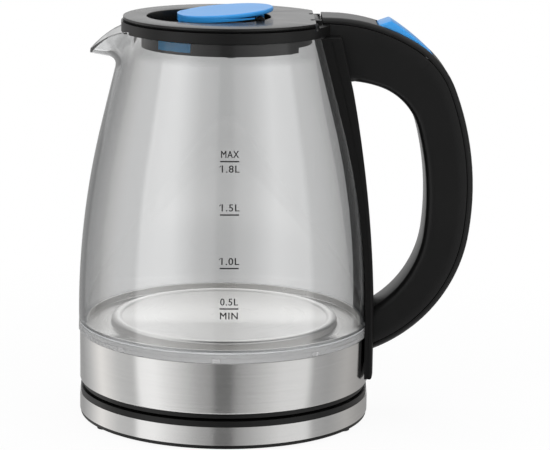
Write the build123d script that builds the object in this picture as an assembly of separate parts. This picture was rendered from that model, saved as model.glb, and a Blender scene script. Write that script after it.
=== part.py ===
from build123d import *
import math
import os

# Glass electric kettle on a round power base, in millimetres, +Z up.
# The origin is on the vertical axis at the level that the feet stand on.
# The spout points to -X, the handle to +X, and the cord hole of the base to +Y.

# Clearances
fixed_gap = 0.1        # round a fixed piece in its seat
pin_gap = 0.05         # round a pin that a piece turns on
free_gap = 0.4         # between pieces that move past each other

# Screws
screw_r = 1.5
screw_head_r = 3.0
screw_head_h = 0.8
screw_sink = 0.2       # from a screw head to the face that it is sunk below
boss_wall = 1.5

# Power base
base_inset = 0.5       # the base's steel stands back from the glass by this
base_lift = 1.4        # from the table to the underside of the shell
base_floor_t = 2.0
base_wall = 2.2
base_rim_step = 0.5    # the shell's rim stands back from the steel by this
base_band_h = 10.1
base_band_t = 0.8
cover_h = 3.1
cover_t = 2.2
cover_step = 0.6       # the cover stands back from the steel by this
foot_count = 3
foot_r = 4.5
foot_seat = 1.0        # depth of the pocket that holds a foot
foot_inset = 6.0      # from the edge of the base to the middle of a foot
foot_turn = 90.0
base_screw_inset = 24.0
base_screw_l = 9.0
support_r = 34.0
support_w = 8.0
seat_rise = 1.4        # gap between the base and the jug

# Cord hole
cord_r = 3.4
gland_wall = 0.9
gland_l = 9.0
gland_flange_w = 0.6
gland_flange_t = 1.6
gland_proud = 0.4

# Cordless connector
post_r = 17.0
post_rise = 10.9       # above the top of the base
post_ring_h = 5.0
post_ring_w = 2.0
slot_in_r = 9.0
slot_w = 3.0
slot_depth = 15.5
socket_r = 2.8
socket_wall = 0.9
socket_h = 15.0
socket_drop = 2.0      # from the top of the post down to the socket
contact_t = 0.8
earth_h = 2.0
earth_drop = 2.0       # from the top of the post down to the earth contact
shutter_h = 4.0
spring_h = 4.2
spring_wall = 1.0
cup_gap = 0.5
cup_wall = 3.0
cup_head = 2.5         # from the top of the post to the roof of the cup
cup_roof_t = 3.0
cup_flange_w = 5.0
cup_flange_t = 2.0
cup_raise = 0.6        # the cup's mouth lies above the jug's underside by this
live_pin_r = 1.5
live_pin_dip = 8.5     # how far the pin reaches down below the top of the post
live_ring_w = 1.0
earth_ring_r = 15.5
earth_ring_w = 2.0
control_l = 36.0
control_w = 28.0
dry_disc_r = 7.0
dry_disc_t = 0.6

# Jug bottom
rim_inset = 1.5        # the black rim stands back from the jug's steel by this
rim_h = 2.6
jug_floor_t = 2.2
spigot_h = 5.0
spigot_wall = 2.0
band_inset = 0.6       # the jug's steel stands back from the glass by this
band_h = 28.1
band_t = 0.8
band_low_lip = 2.7
band_top_lip = 6.7
ring_h = 5.0
ring_proud = 0.1       # the clear ring stands out from the glass by this
gasket_t = 0.8
gasket_inset = 0.3

# Heater
plate_t = 0.8
ledge_drop = 1.7       # the floor's ledge lies below the top of the clear ring by this
plateau_rise = 3.0
moat_w = 13.9          # between the bead and the upright edge of the floor
bead_w = 6.0
bead_rise = 1.2
flange_rise = 1.0      # the floor's edge stands above the foot of the glass by this
seal_t = 1.0
seal_lip = 5.0
spreader_inset = 7.0   # inside the foot of the bead
spreader_t = 3.5
element_inset = 11.0   # inside the edge of the spreader
element_tube_r = 3.6
element_turn = 300.0
element_leg_r = 2.6
element_leg_h = 8.0
stud_count = 3
stud_r = 3.2
stud_inset = 9.9       # inside the upright edge of the floor
stud_turn = 60.0
cover_screw_l = 12.0

# Glass
glass_r = 81.5
glass_wall = 3.2
glass_h = 163.0
glass_straight = 3.5
glass_arc_r = 450.0
glass_taper = 13.6

# Spout: each section by its reach outside the neck, its height above the rim, half width and half height
root_reach = -14.7
root_rise = 1.5
root_half_w = 30.0
root_half_h = 21.0
throat_reach = 5.3
throat_rise = -0.5
throat_half_w = 18.0
throat_half_h = 16.5
mouth_reach = 15.3
mouth_rise = -3.5
mouth_half_w = 10.0
mouth_half_h = 11.5
tip_reach = 19.9
tip_rise = -10.3
tip_half_w = 3.5
tip_half_h = 4.5
spout_wall = 2.6
lip_start_reach = 2.7
lip_start_drop = 0.8
lip_middle_reach = 13.2
lip_middle_drop = 5.4
lip_end_reach = 19.7
lip_end_drop = 13.6

# Collar
rim_gasket_t = 0.8
collar_proud = 2.0     # the collar stands out from the neck by this
collar_lip = 5.7       # and reaches in over the rim by this
collar_drop = 2.7      # from the flange down to the lower edge of the collar
collar_flange_t = 2.9

# Lid and its hinge
lid_inset = 1.0        # the lid stands back from the collar by this
lid_gap = 0.3
lid_t = 2.2
lid_edge = 0.7         # slope round the top of the lid
lid_back = 0.8         # the lid's rear edge lies in front of the hinge line by this
hinge_inset = 1.6      # the hinge line lies inside the bore of the collar by this
barrel_r = 2.8
barrel_half = 11.7
ear_w = 3.3
hinge_pin_r = 1.0
well_x = -10.0
well_depth = 7.8
bowl_t = 1.2
skirt_gap = 3.4        # from the skirt to the bore of the collar
skirt_t = 1.2
skirt_h = 13.1
skirt_back_cut = 8.8   # the low part of the skirt ends in front of its rear side by this
skirt_back_h = 11.5
underplate_t = 1.2
vent_r = 2.0
vent_count = 6
vent_ring_r = 15.0
vent_x = 5.0
boss_inset = 5.6       # inside the skirt
rear_boss_turn = 39.0
side_boss_turn = 87.0
lid_screw_l = 8.0

# Tab and latches
tab_margin = 7.6       # the tab is smaller than the well by this
tab_t = 2.4
tab_overhang = 7.4     # the tab runs past its axis by this
tab_rise = 2.35        # the middle of the tab lies above the lid by this
tab_tilt = 4.8
tab_round = 0.9
tab_axis_inset = 6.0   # inside the rear of the well
tab_axis_drop = 0.9
tab_barrel_r = 2.2
tab_barrel_half = 7.6
tab_pin_r = 1.0
tab_post_y = 12.0
tab_post_w = 3.0
tab_post_r = 2.6
tab_spring_r = 2.1
tab_spring_l = 3.6
leg_inset = 3.4        # inside the front edge of the tab
leg_t = 5.0
leg_half = 8.7
leg_foot_half = 7.0
leg_taper_h = 5.0
leg_clear = 0.4
leg_swing = 2.4        # room in front of the leg for its swing
latch_lead = 3.5       # the latches lie in front of the leg by this
latch_l = 17.0
latch_h = 4.8
latch_lift = 0.3
latch_gap = 0.5

# Handle: the outer and inner lines are runs of arcs, each with its radius and its turn in degrees.
# They are drawn to the height between the top of the handle and the heel, whatever their radii add up to.
grip_rise = 1.3        # the top of the handle stands above the lid by this
grip_set = 26.0        # the outer line starts inside the glass radius by this
heel_rise = 17.0      # the heel ends above the top of the jug's rim by this
top_arc_r = 93.3
top_arc_turn = 33.0
shoulder_arc_r = 51.2
shoulder_arc_turn = 35.4
back_arc_r = 157.9
back_arc_turn = 30.4
heel_arc_r = 84.4
heel_arc_turn = 63.6
inner_set = 14.5       # the inner line starts behind the outer one by this
inner_start_drop = 35.4
inner_start_turn = 5.3
arm_arc_r = 61.8
arm_arc_turn = 13.5
crook_arc_r = 33.6
crook_arc_turn = 56.1
palm_arc_r = 156.4
palm_arc_turn = 19.9
lower_arc_r = 55.9
lower_arc_turn = 55.6
grip_w = 30.0
grip_round = 6.0
back_depth = 6.0
back_round = 3.0
seam_gap = 0.15
duct_depth = 12.0
grip_wall = 3.0        # beside the duct
duct_start = 12.0      # headings below level, in degrees, where the duct starts and ends
duct_end = 140.0
lead_slot_half = 4.0
lead_slot_depth = 4.0
strip_w = 52.0
strip_gap = 0.3
strip_low_t = 1.8
strip_top_t = 5.4
strip_bow = 0.2        # swell of the strip's back, as a share of its lean
strip_foot_rise = 6.2  # above the underside of the jug
strip_neck_drop = 30.5 # below the rim of the glass
strip_head_drop = 0.4  # from the collar's lower edge down to the top of the strip
tuck = 8.0             # how far the handle's inner line runs on into the strip
handle_screw_y = 14.0
handle_screw_rise = 11.4
handle_screw_l = 6.0
handle_screw_bite = 2.1

# Switch on the handle: places are headings of the outer line below level, in degrees
switch_front = 17.2
switch_peak = 20.4
switch_middle = 32.0
switch_rear = 43.0
switch_rise = 4.3
switch_middle_rise = 1.0
switch_depth = 3.8
switch_cheek = 4.0     # width of the handle beside the switch
switch_axis = 40.5
switch_axis_depth = 3.0
switch_pin_r = 1.0
switch_pin_bite = 2.5
pocket_spare = 0.6
cutout_front = 20.0
cutout_rear = 42.0
cutout_drop = 3.5      # from the back cover to the steam switch
cutout_side = 4.0      # from the steam switch to the side of the duct
cutout_seat = 0.45     # from the steam switch to the floor of the duct
snap_disc_r = 4.0
snap_disc_t = 0.6
lead_r = 0.9
lead_y = 2.5
lead_drop = 1.8        # from the back cover to the middle of a lead
lead_start = 43.0
lead_run = 5.0
lead_bend_r = 20.0

# Levels and radii worked out from the sizes above
base_r = glass_r - base_inset
band_r = glass_r - band_inset
rim_r = band_r - rim_inset
foot_ring_r = base_r - foot_inset
base_screw_ring_r = base_r - base_screw_inset
base_floor = base_lift + base_floor_t
base_band_top = base_floor + base_band_h
base_top = base_band_top + cover_h
shell_r = base_r - base_band_t - fixed_gap
jug_floor = base_top + seat_rise
jug_inside = jug_floor + jug_floor_t
rim_top = jug_floor + rim_h
band_top = rim_top + band_h
ring_top = band_top + ring_h
glass_foot = ring_top + gasket_t
glass_in_r = glass_r - glass_wall
glass_rim = glass_foot + glass_h
taper = math.radians(glass_taper)
arc_top = glass_foot + glass_straight + glass_arc_r * math.sin(taper)
arc_top_r = glass_r - glass_arc_r * (1 - math.cos(taper))
neck_r = arc_top_r - (glass_rim - arc_top) * math.tan(taper)
collar_r = neck_r + collar_proud
collar_bore_r = neck_r - collar_lip
lid_r = collar_r - lid_inset
skirt_r = collar_bore_r - skirt_gap
skirt_back_x = skirt_r - skirt_back_cut
hinge_x = collar_bore_r - hinge_inset
collar_under = glass_rim + rim_gasket_t
collar_top = collar_under + collar_flange_t
collar_low = collar_under - collar_drop
lid_under = collar_top + lid_gap
lid_top = lid_under + lid_t
hinge_z = lid_top - barrel_r
handle_front = hinge_x + barrel_r + free_gap
handle_top = lid_top + grip_rise
ledge_top = ring_top - ledge_drop
ledge_under = ledge_top - plate_t
plateau_top = ledge_top + plateau_rise
floor_edge_r = glass_in_r - 2 * fixed_gap - seal_t
bead_r = floor_edge_r - moat_w
stud_ring_r = floor_edge_r - stud_inset
spreader_r = bead_r - spreader_inset
element_r = spreader_r - element_inset
plateau_under = plateau_top - plate_t
spreader_under = plateau_under - spreader_t
post_top = base_top + post_rise
slot_out_r = slot_in_r + slot_w
slot_floor = post_top - slot_depth
shutter_foot = slot_floor + contact_t + spring_h
shutter_top = shutter_foot + shutter_h
cup_r = post_r + cup_gap
cup_out_r = cup_r + cup_wall
cup_roof = post_top + cup_head
control_top = spreader_under - fixed_gap - dry_disc_t
gland_r = cord_r + gland_wall
gland_flange_r = gland_r + gland_flange_w
gland_z = (base_floor + base_band_top) / 2
skirt_foot = lid_under - skirt_h
well_floor = lid_top - well_depth
well_r = skirt_r - skirt_t - free_gap - bowl_t + well_x
boss_ring_r = skirt_r - boss_inset
tab_r = well_r - tab_margin
tab_axis_x = well_x + well_r - tab_axis_inset
tab_x = tab_axis_x + tab_overhang - tab_r
leg_x = tab_x - tab_r + leg_inset
latch_x = leg_x - latch_lead
tab_z = lid_top + tab_rise
tab_axis_z = lid_top - tab_axis_drop
latch_foot = skirt_foot + latch_lift
latch_top = latch_foot + latch_h
hole_r = screw_r + fixed_gap
boss_r = hole_r + boss_wall
strip_foot = jug_floor + strip_foot_rise
strip_neck = glass_rim - strip_neck_drop
handle_screw_z = rim_top + handle_screw_rise
duct_half = grip_w / 2 - grip_wall
switch_half = grip_w / 2 - switch_cheek
cutout_half = duct_half - cutout_side
cutout_top = back_depth + cutout_drop
lead_depth = back_depth + lead_drop
grip_start_x = glass_r - grip_set
inner_start_x = grip_start_x + inner_set
grip_arcs = (
    (top_arc_r, top_arc_turn), (shoulder_arc_r, shoulder_arc_turn),
    (back_arc_r, back_arc_turn), (heel_arc_r, heel_arc_turn),
)
inner_arcs = (
    (arm_arc_r, arm_arc_turn), (crook_arc_r, crook_arc_turn),
    (palm_arc_r, palm_arc_turn), (lower_arc_r, lower_arc_turn),
)
grip_turn = sum(turn for radius, turn in grip_arcs)
body_depth = back_depth + seam_gap
duct_floor = body_depth + duct_depth
far = 2 * base_r       # past every piece, for cutting tools
upright = (Align.CENTER, Align.CENTER, Align.MIN)


# Basic shapes

def disc(r, z0, z1, x=0.0, y=0.0):
    return Pos(x, y, z0) * Cylinder(r, z1 - z0, align=upright)


def tube(r_in, r_out, z0, z1, x=0.0, y=0.0):
    return disc(r_out, z0, z1, x, y) - disc(r_in, z0, z1, x, y)


def block(x0, x1, y0, y1, z0, z1):
    middle = Pos((x0 + x1) / 2, (y0 + y1) / 2, (z0 + z1) / 2)
    return middle * Box(x1 - x0, y1 - y0, z1 - z0)


def rod_x(y, z, r, x0, x1):
    return Pos(x0, y, z) * Rot(0, 90, 0) * Cylinder(r, x1 - x0, align=upright)


def rod_y(x, z, r, y0, y1):
    return Pos(x, y0, z) * Rot(-90, 0, 0) * Cylinder(r, y1 - y0, align=upright)


def side_face(*edges):
    return Plane.XZ * make_face(edges)


def side_polygon(points):
    return Plane.XZ * make_face(Polyline(*points, close=True))


def lathe(points):
    return revolve(side_polygon(points), Axis.Z)


def slab(face, half):
    return extrude(face, amount=half, both=True)


def together(pieces):
    return Part() + list(pieces)


def ring_places(count, radius, start):
    for i in range(count):
        angle = math.radians(start + 360.0 * i / count)
        yield radius * math.cos(angle), radius * math.sin(angle)


def screw_up(x, y, face, length):
    """A screw put in from below, its head sunk in a face that looks down."""
    head = face + screw_sink
    shoulder = head + screw_head_h
    return disc(screw_head_r, head, shoulder, x, y) + disc(screw_r, shoulder, shoulder + length, x, y)


def screw_hole_up(x, y, face, top):
    shoulder = face + screw_sink + screw_head_h
    sink = disc(screw_head_r + fixed_gap, face, shoulder, x, y)
    return sink + disc(hole_r, face, top, x, y)


# Power base

def base_feet_places():
    return list(ring_places(foot_count, foot_ring_r, foot_turn))


def base_screw_places():
    return list(ring_places(foot_count, base_screw_ring_r, foot_turn + 180.0 / foot_count))


def make_base_shell():
    shell = disc(base_r - base_rim_step, base_lift, base_floor)
    shell += tube(shell_r - base_wall, shell_r, base_floor, base_band_top)
    shell += tube(post_r + fixed_gap, post_r + fixed_gap + post_ring_w, base_floor, base_floor + post_ring_h)
    for x, y in base_feet_places():
        shell -= disc(foot_r + fixed_gap, base_lift, base_lift + foot_seat, x, y)
    for x, y in base_screw_places():
        shell -= screw_hole_up(x, y, base_lift, base_floor)
    return shell - cord_hole()


def cord_hole():
    return rod_y(0, gland_z, gland_r + fixed_gap, shell_r / 2, far)


def make_base_band():
    return tube(base_r - base_band_t, base_r, base_floor, base_band_top) - cord_hole()


def make_base_cover():
    cover = tube(shell_r - base_wall, base_r - cover_step, base_band_top, base_top)
    cover += disc(base_r - cover_step, base_top - cover_t, base_top)
    cover += tube(support_r - support_w, support_r, base_top, jug_floor)
    cover -= disc(post_r + fixed_gap, base_band_top, jug_floor)
    for x, y in base_screw_places():
        cover += tube(hole_r, boss_r, base_floor, base_top - cover_t, x, y)
    return cover


def make_base_feet():
    return together(disc(foot_r, 0, base_lift + foot_seat, x, y) for x, y in base_feet_places())


def make_base_screws():
    return together(screw_up(x, y, base_lift, base_screw_l) for x, y in base_screw_places())


def make_cord_gland():
    outer = base_r + gland_proud
    inner_wall = shell_r - base_wall
    flange_face = math.sqrt(inner_wall ** 2 - gland_flange_r ** 2) - fixed_gap
    gland = rod_y(0, gland_z, gland_r, outer - gland_l, outer)
    flange = rod_y(0, gland_z, gland_flange_r, flange_face - gland_flange_t, flange_face)
    room = (base_floor + fixed_gap, base_top - cover_t - fixed_gap)
    gland += flange & block(-far, far, -far, far, *room)
    return gland - rod_y(0, gland_z, cord_r, outer - 2 * gland_l, outer)


def make_base_connector():
    post = disc(post_r, base_floor, post_top)
    post -= tube(slot_in_r, slot_out_r, slot_floor, post_top)
    post -= disc(socket_r + fixed_gap, post_top - socket_h, post_top)
    earth_top = post_top - earth_drop
    return post - tube(post_r - contact_t, post_r, earth_top - earth_h, earth_top)


def make_base_contacts():
    socket = tube(socket_r - socket_wall, socket_r, post_top - socket_h, post_top - socket_drop)
    live = tube(slot_in_r + free_gap, slot_out_r - free_gap, slot_floor, slot_floor + contact_t)
    earth_top = post_top - earth_drop
    earth = tube(post_r - contact_t, post_r - fixed_gap, earth_top - earth_h, earth_top)
    return together([socket, live, earth])


def make_connector_shutter():
    return tube(slot_in_r + free_gap, slot_out_r - free_gap, shutter_foot, shutter_top)


def make_shutter_spring():
    middle = (slot_in_r + slot_out_r) / 2
    return tube(middle - spring_wall / 2, middle + spring_wall / 2, slot_floor + contact_t, shutter_foot)


# Jug bottom

def stud_places():
    return list(ring_places(stud_count, stud_ring_r, stud_turn))


def make_jug_base_cover():
    spigot_r = band_r - band_low_lip - fixed_gap
    cover = disc(rim_r, jug_floor, jug_inside)
    cover += tube(spigot_r - spigot_wall, rim_r, jug_floor, rim_top)
    cover += tube(spigot_r - spigot_wall, spigot_r, rim_top, rim_top + spigot_h)
    cover -= disc(cup_out_r + fixed_gap, jug_floor, jug_inside)
    for x, y in stud_places():
        cover -= screw_hole_up(x, y, jug_floor, jug_inside)
    return cover


def make_floor_studs():
    bore_top = jug_inside + cover_screw_l + stud_r
    return together(
        disc(stud_r, jug_inside, ledge_under, x, y) - disc(hole_r, jug_inside, bore_top, x, y)
        for x, y in stud_places()
    )


def make_jug_cover_screws():
    return together(screw_up(x, y, jug_floor, cover_screw_l) for x, y in stud_places())


def make_jug_band():
    inner = band_r - band_t
    band = lathe([
        (band_r - band_low_lip, rim_top), (band_r, rim_top), (band_r, band_top),
        (band_r - band_top_lip, band_top), (band_r - band_top_lip, band_top - band_t),
        (inner, band_top - band_t), (inner, rim_top + band_t), (band_r - band_low_lip, rim_top + band_t),
    ])
    for y in (-handle_screw_y, handle_screw_y):
        band -= rod_x(y, handle_screw_z, hole_r, 0, far)
    return band - lead_slot()


def make_light_ring():
    return tube(glass_in_r, glass_r + ring_proud, band_top, ring_top)


def make_glass_gasket():
    return tube(glass_in_r + gasket_inset, glass_r - gasket_inset, ring_top, glass_foot)


# Heater and control

def make_heater_plate():
    edge = floor_edge_r
    edge_top = glass_foot + flange_rise
    bead_in = bead_r - bead_w
    bead_top = plateau_top + bead_rise
    outline = [
        Line((0, plateau_top), (bead_in, plateau_top)),
        ThreePointArc((bead_in, plateau_top), (bead_r - bead_w / 2, bead_top), (bead_r, plateau_top)),
        Polyline(
            (bead_r, plateau_top), (bead_r, ledge_top), (edge - plate_t, ledge_top),
            (edge - plate_t, edge_top), (edge, edge_top), (edge, ledge_under),
            (bead_r - plate_t, ledge_under), (bead_r - plate_t, plateau_under),
            (0, plateau_under), (0, plateau_top),
        ),
    ]
    return revolve(side_face(*outline), Axis.Z)


def make_heater_seal():
    inner = floor_edge_r + fixed_gap
    seal = tube(inner, inner + seal_t, band_top, glass_foot + flange_rise)
    return seal + tube(inner - seal_lip, inner + seal_t, band_top, ledge_under)


def make_heat_spreader():
    return disc(spreader_r, spreader_under, plateau_under)


def make_heating_element():
    z = spreader_under - element_tube_r - fixed_gap
    section = Plane.XZ * Pos(element_r, z) * Circle(element_tube_r)
    ring = revolve(section, Axis.Z, revolution_arc=element_turn)
    start = (360.0 - element_turn) / 2
    legs = [
        Rot(0, 0, angle) * disc(element_leg_r, z - element_leg_h, z, element_r)
        for angle in (0.0, element_turn)
    ]
    return Rot(0, 0, start) * together([ring] + legs)


def make_jug_connector():
    mouth = jug_floor + cup_raise
    body = disc(cup_out_r, mouth, cup_roof + cup_roof_t)
    body += disc(cup_out_r + cup_flange_w, jug_inside, jug_inside + cup_flange_t)
    body += block(-control_l / 2, control_l / 2, -control_w / 2, control_w / 2, cup_roof, control_top)
    body -= disc(cup_r, mouth, cup_roof)
    roof_top = cup_roof + cup_roof_t
    body -= disc(live_pin_r + fixed_gap, cup_roof, roof_top)
    middle = (slot_in_r + slot_out_r) / 2
    reach = live_ring_w / 2 + fixed_gap
    body -= tube(middle - reach, middle + reach, cup_roof, cup_roof + cup_roof_t / 2)
    return body


def make_jug_contacts():
    pin = disc(live_pin_r, post_top - live_pin_dip, cup_roof + cup_roof_t)
    middle = (slot_in_r + slot_out_r) / 2
    reach = live_ring_w / 2
    live = tube(middle - reach, middle + reach, shutter_top + free_gap, cup_roof + cup_roof_t / 2)
    earth = tube(earth_ring_r - earth_ring_w, earth_ring_r, post_top + free_gap, cup_roof)
    return together([pin, live, earth])


def make_dry_boil_discs():
    return together(
        disc(dry_disc_r, control_top, control_top + dry_disc_t, x) for x in (-control_l / 4, control_l / 4)
    )


# Glass

def glass_arc(offset):
    """Start, middle and end of the curved part of the glass wall, moved out by offset."""
    low = glass_foot + glass_straight
    centre = glass_r - glass_arc_r
    points = []
    for turn in (0.0, glass_taper / 2, glass_taper):
        angle = math.radians(turn)
        reach = glass_arc_r + offset
        points.append((centre + reach * math.cos(angle), low + reach * math.sin(angle)))
    return points


def glass_radius(z, offset=0.0):
    """Radius of the straight upper part of the glass at a height."""
    x, low = glass_arc(offset)[2]
    return x - (z - low) * math.tan(math.radians(glass_taper))


def wall_line(offset, low, high):
    """Edges of the glass wall's outline from a low level to a high one."""
    start, middle, end = glass_arc(offset)
    return [
        Line((start[0], low), start),
        ThreePointArc(start, middle, end),
        Line(end, (glass_radius(high, offset), high)),
    ]


def glass_solid(offset, low, high):
    edges = wall_line(offset, low, high)
    foot = edges[0] @ 0
    head = edges[-1] @ 1
    edges += [Line(head, (0, high)), Line((0, high), (0, low)), Line((0, low), foot)]
    return revolve(side_face(*edges), Axis.Z)


def spout_point(reach, rise):
    """A point of the spout's side view, from its reach outside the neck and its height above the rim."""
    return -neck_r - reach, glass_rim + rise


def spout_solid(offset):
    sections = []
    for reach, rise, half_width, half_height in (
        (root_reach, root_rise, root_half_w, root_half_h),
        (throat_reach, throat_rise, throat_half_w, throat_half_h),
        (mouth_reach, mouth_rise, mouth_half_w, mouth_half_h),
        (tip_reach, tip_rise, tip_half_w, tip_half_h),
    ):
        x, z = spout_point(reach, rise)
        plane = Plane(origin=(x, 0, z), x_dir=(0, 1, 0), z_dir=(-1, 0, 0))
        sections.append(plane * Ellipse(half_width + offset, half_height + offset))
    return loft(sections)


def above_lip(raise_by=0.0):
    """Everything above the rim of the glass and the falling lip of the spout."""
    lift = Pos(0, 0, raise_by)
    root = spout_point(root_reach, 0.0)
    start = spout_point(lip_start_reach, -lip_start_drop)
    middle = spout_point(lip_middle_reach, -lip_middle_drop)
    end = spout_point(lip_end_reach, -lip_end_drop)
    outline = [
        Line((far, glass_rim), root),
        Line(root, start),
        ThreePointArc(start, middle, end),
        Polyline(end, (-far, end[1]), (-far, far * 2), (far, far * 2), (far, glass_rim)),
    ]
    return lift * slab(side_face(*outline), far)


def make_glass_body():
    outside = glass_solid(0, glass_foot, glass_rim) + spout_solid(0)
    inside = glass_solid(-glass_wall, glass_foot, glass_rim) + spout_solid(-spout_wall)
    return outside - inside - above_lip()


# Collar

def collar_wall_r():
    return glass_radius(collar_low) + free_gap


def spout_walls_room():
    """The spout's two side walls with a clearance, where the collar gives way to them."""
    room = spout_solid(free_gap) - spout_solid(-spout_wall - free_gap)
    return room - above_lip(free_gap)


def make_rim_collar():
    wall = collar_wall_r()
    collar = lathe([
        (collar_bore_r, collar_under), (wall, collar_under), (wall, collar_low),
        (collar_r, collar_low), (collar_r, collar_top), (collar_bore_r, collar_top),
    ])
    collar -= spout_walls_room()
    reach = barrel_r + free_gap
    notch_half = barrel_half + free_gap
    collar -= block(hinge_x - reach, hinge_x + reach, -notch_half, notch_half, hinge_z - reach, lid_top)
    for side in (-1, 1):
        y0, y1 = sorted((side * notch_half, side * (notch_half + ear_w)))
        collar += rod_y(hinge_x, hinge_z, barrel_r, y0, y1)
        collar += block(hinge_x - barrel_r, hinge_x + barrel_r, y0, y1, collar_under, hinge_z)
        collar += block(hinge_x, hinge_x + barrel_r, y0, y1, hinge_z, lid_top)
    return collar - rod_y(hinge_x, hinge_z, hinge_pin_r + pin_gap, -far, far)


def make_rim_gasket():
    outer = glass_radius(glass_rim) - fixed_gap
    gasket = tube(outer - glass_wall + 2 * fixed_gap, outer, glass_rim, collar_under)
    half = throat_half_w + free_gap
    root_x = spout_point(root_reach, root_rise)[0]
    return gasket - block(-far, root_x, -half, half, glass_rim, collar_under)


def make_lid_hinge_pin():
    end = barrel_half + free_gap + ear_w
    return rod_y(hinge_x, hinge_z, hinge_pin_r, -end, end)


# Lid

def lid_boss_places():
    places = []
    for turn in (rear_boss_turn, side_boss_turn):
        x = boss_ring_r * math.cos(math.radians(turn))
        y = boss_ring_r * math.sin(math.radians(turn))
        places += [(x, -y), (x, y)]
    return places


def make_lid_cover():
    lid = lathe([
        (0, lid_under), (lid_r, lid_under), (lid_r, lid_top - lid_edge),
        (lid_r - lid_edge, lid_top), (0, lid_top),
    ])
    lid -= block(hinge_x - lid_back, far, -far, far, lid_under, lid_top)
    ear_room = barrel_half + 2 * free_gap + ear_w
    lid -= block(hinge_x - barrel_r - free_gap, far, -ear_room, ear_room, lid_under, lid_top)
    web_start = hinge_x - barrel_r - 2 * free_gap
    lid += block(web_start, hinge_x, -barrel_half, barrel_half, lid_under, lid_top)
    lid += rod_y(hinge_x, hinge_z, barrel_r, -barrel_half, barrel_half)
    lid -= rod_y(hinge_x, hinge_z, hinge_pin_r + pin_gap, -far, far)
    lid -= disc(well_r, lid_under, lid_top, well_x)
    bowl_foot = well_floor - bowl_t
    lid += tube(well_r, well_r + bowl_t, bowl_foot, lid_top, well_x)
    lid += disc(well_r + bowl_t, bowl_foot, well_floor, well_x)
    lid += tab_posts()
    lid -= leg_room()
    for x, y in lid_boss_places():
        lid += tube(hole_r, boss_r, skirt_foot, lid_under, x, y)
    return lid


def tab_posts():
    posts = []
    for side in (-1, 1):
        y0, y1 = sorted((side * tab_post_y, side * (tab_post_y + tab_post_w)))
        post = rod_y(tab_axis_x, tab_axis_z, tab_post_r, y0, y1)
        post += block(tab_axis_x - tab_post_r, tab_axis_x + tab_post_r, y0, y1, well_floor - bowl_t, tab_axis_z)
        posts.append(post - rod_y(tab_axis_x, tab_axis_z, tab_pin_r + pin_gap, y0, y1))
    return together(posts)


def leg_room():
    half = leg_half + leg_clear
    front = leg_x - leg_t / 2 - leg_swing
    rear = leg_x + leg_t / 2 + leg_clear
    return block(front, rear, -half, half, well_floor - bowl_t, well_floor)


def latch_window(side):
    half = latch_l / 2 + free_gap
    y0, y1 = sorted((side * skirt_r / 2, side * far))
    return block(latch_x - half, latch_x + half, y0, y1, skirt_foot, latch_top + free_gap)


def make_lid_skirt():
    skirt = tube(skirt_r - skirt_t, skirt_r, skirt_foot, lid_under)
    skirt -= block(skirt_back_x, far, -far, far, skirt_foot, lid_under - skirt_back_h)
    skirt -= rod_y(hinge_x, hinge_z, barrel_r + fixed_gap, -barrel_half - fixed_gap, barrel_half + fixed_gap)
    return skirt - latch_window(-1) - latch_window(1)


def make_lid_underplate():
    plate = disc(skirt_r, skirt_foot - underplate_t, skirt_foot)
    plate -= block(skirt_back_x, far, -far, far, skirt_foot - underplate_t, skirt_foot)
    for x, y in lid_boss_places():
        plate -= disc(hole_r, skirt_foot - underplate_t, skirt_foot, x, y)
    for x, y in ring_places(vent_count, vent_ring_r, 0.0):
        plate -= disc(vent_r, skirt_foot - underplate_t, skirt_foot, x + vent_x, y)
    return plate


def make_lid_screws():
    under = skirt_foot - underplate_t
    return together(
        disc(screw_head_r, under - screw_head_h, under, x, y) + disc(screw_r, under, under + lid_screw_l, x, y)
        for x, y in lid_boss_places()
    )


# Tab and latches

def make_lid_tab():
    plate = Cylinder(tab_r, tab_t)
    plate = fillet(plate.edges().filter_by(GeomType.CIRCLE), tab_round)
    tab = Pos(tab_x, 0, tab_z) * Rot(0, -tab_tilt, 0) * plate
    web_top = tab_z + (tab_axis_x - tab_x) * math.sin(math.radians(tab_tilt))
    reach = tab_barrel_r
    tab += block(tab_axis_x - reach, tab_axis_x + reach, -tab_barrel_half, tab_barrel_half, tab_axis_z, web_top)
    tab += rod_y(tab_axis_x, tab_axis_z, reach, -tab_barrel_half, tab_barrel_half)
    tab += tab_leg()
    return tab - rod_y(tab_axis_x, tab_axis_z, tab_pin_r + pin_gap, -far, far)


def tab_leg():
    top = tab_z + (leg_x - tab_x) * math.sin(math.radians(tab_tilt))
    foot = latch_foot
    bend = foot + leg_taper_h
    outline = Polyline(
        (-leg_half, top), (leg_half, top), (leg_half, bend), (leg_foot_half, foot),
        (-leg_foot_half, foot), (-leg_half, bend), close=True,
    )
    plane = Plane(origin=(leg_x, 0, 0), x_dir=(0, 1, 0), z_dir=(1, 0, 0))
    return extrude(plane * make_face(outline), amount=leg_t / 2, both=True)


def make_tab_pin():
    end = tab_post_y + tab_post_w
    return rod_y(tab_axis_x, tab_axis_z, tab_pin_r, -end, end)


def make_tab_spring():
    y1 = tab_post_y - free_gap
    outer = rod_y(tab_axis_x, tab_axis_z, tab_spring_r, y1 - tab_spring_l, y1)
    return outer - rod_y(tab_axis_x, tab_axis_z, tab_pin_r + 2 * fixed_gap, y1 - tab_spring_l, y1)


def make_latch(side):
    inner = leg_half + latch_gap
    y0, y1 = sorted((side * inner, side * far))
    half = latch_l / 2
    bar = block(latch_x - half, latch_x + half, y0, y1, latch_foot, latch_top)
    return bar & disc(skirt_r, latch_foot, latch_top)


# Handle

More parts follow.
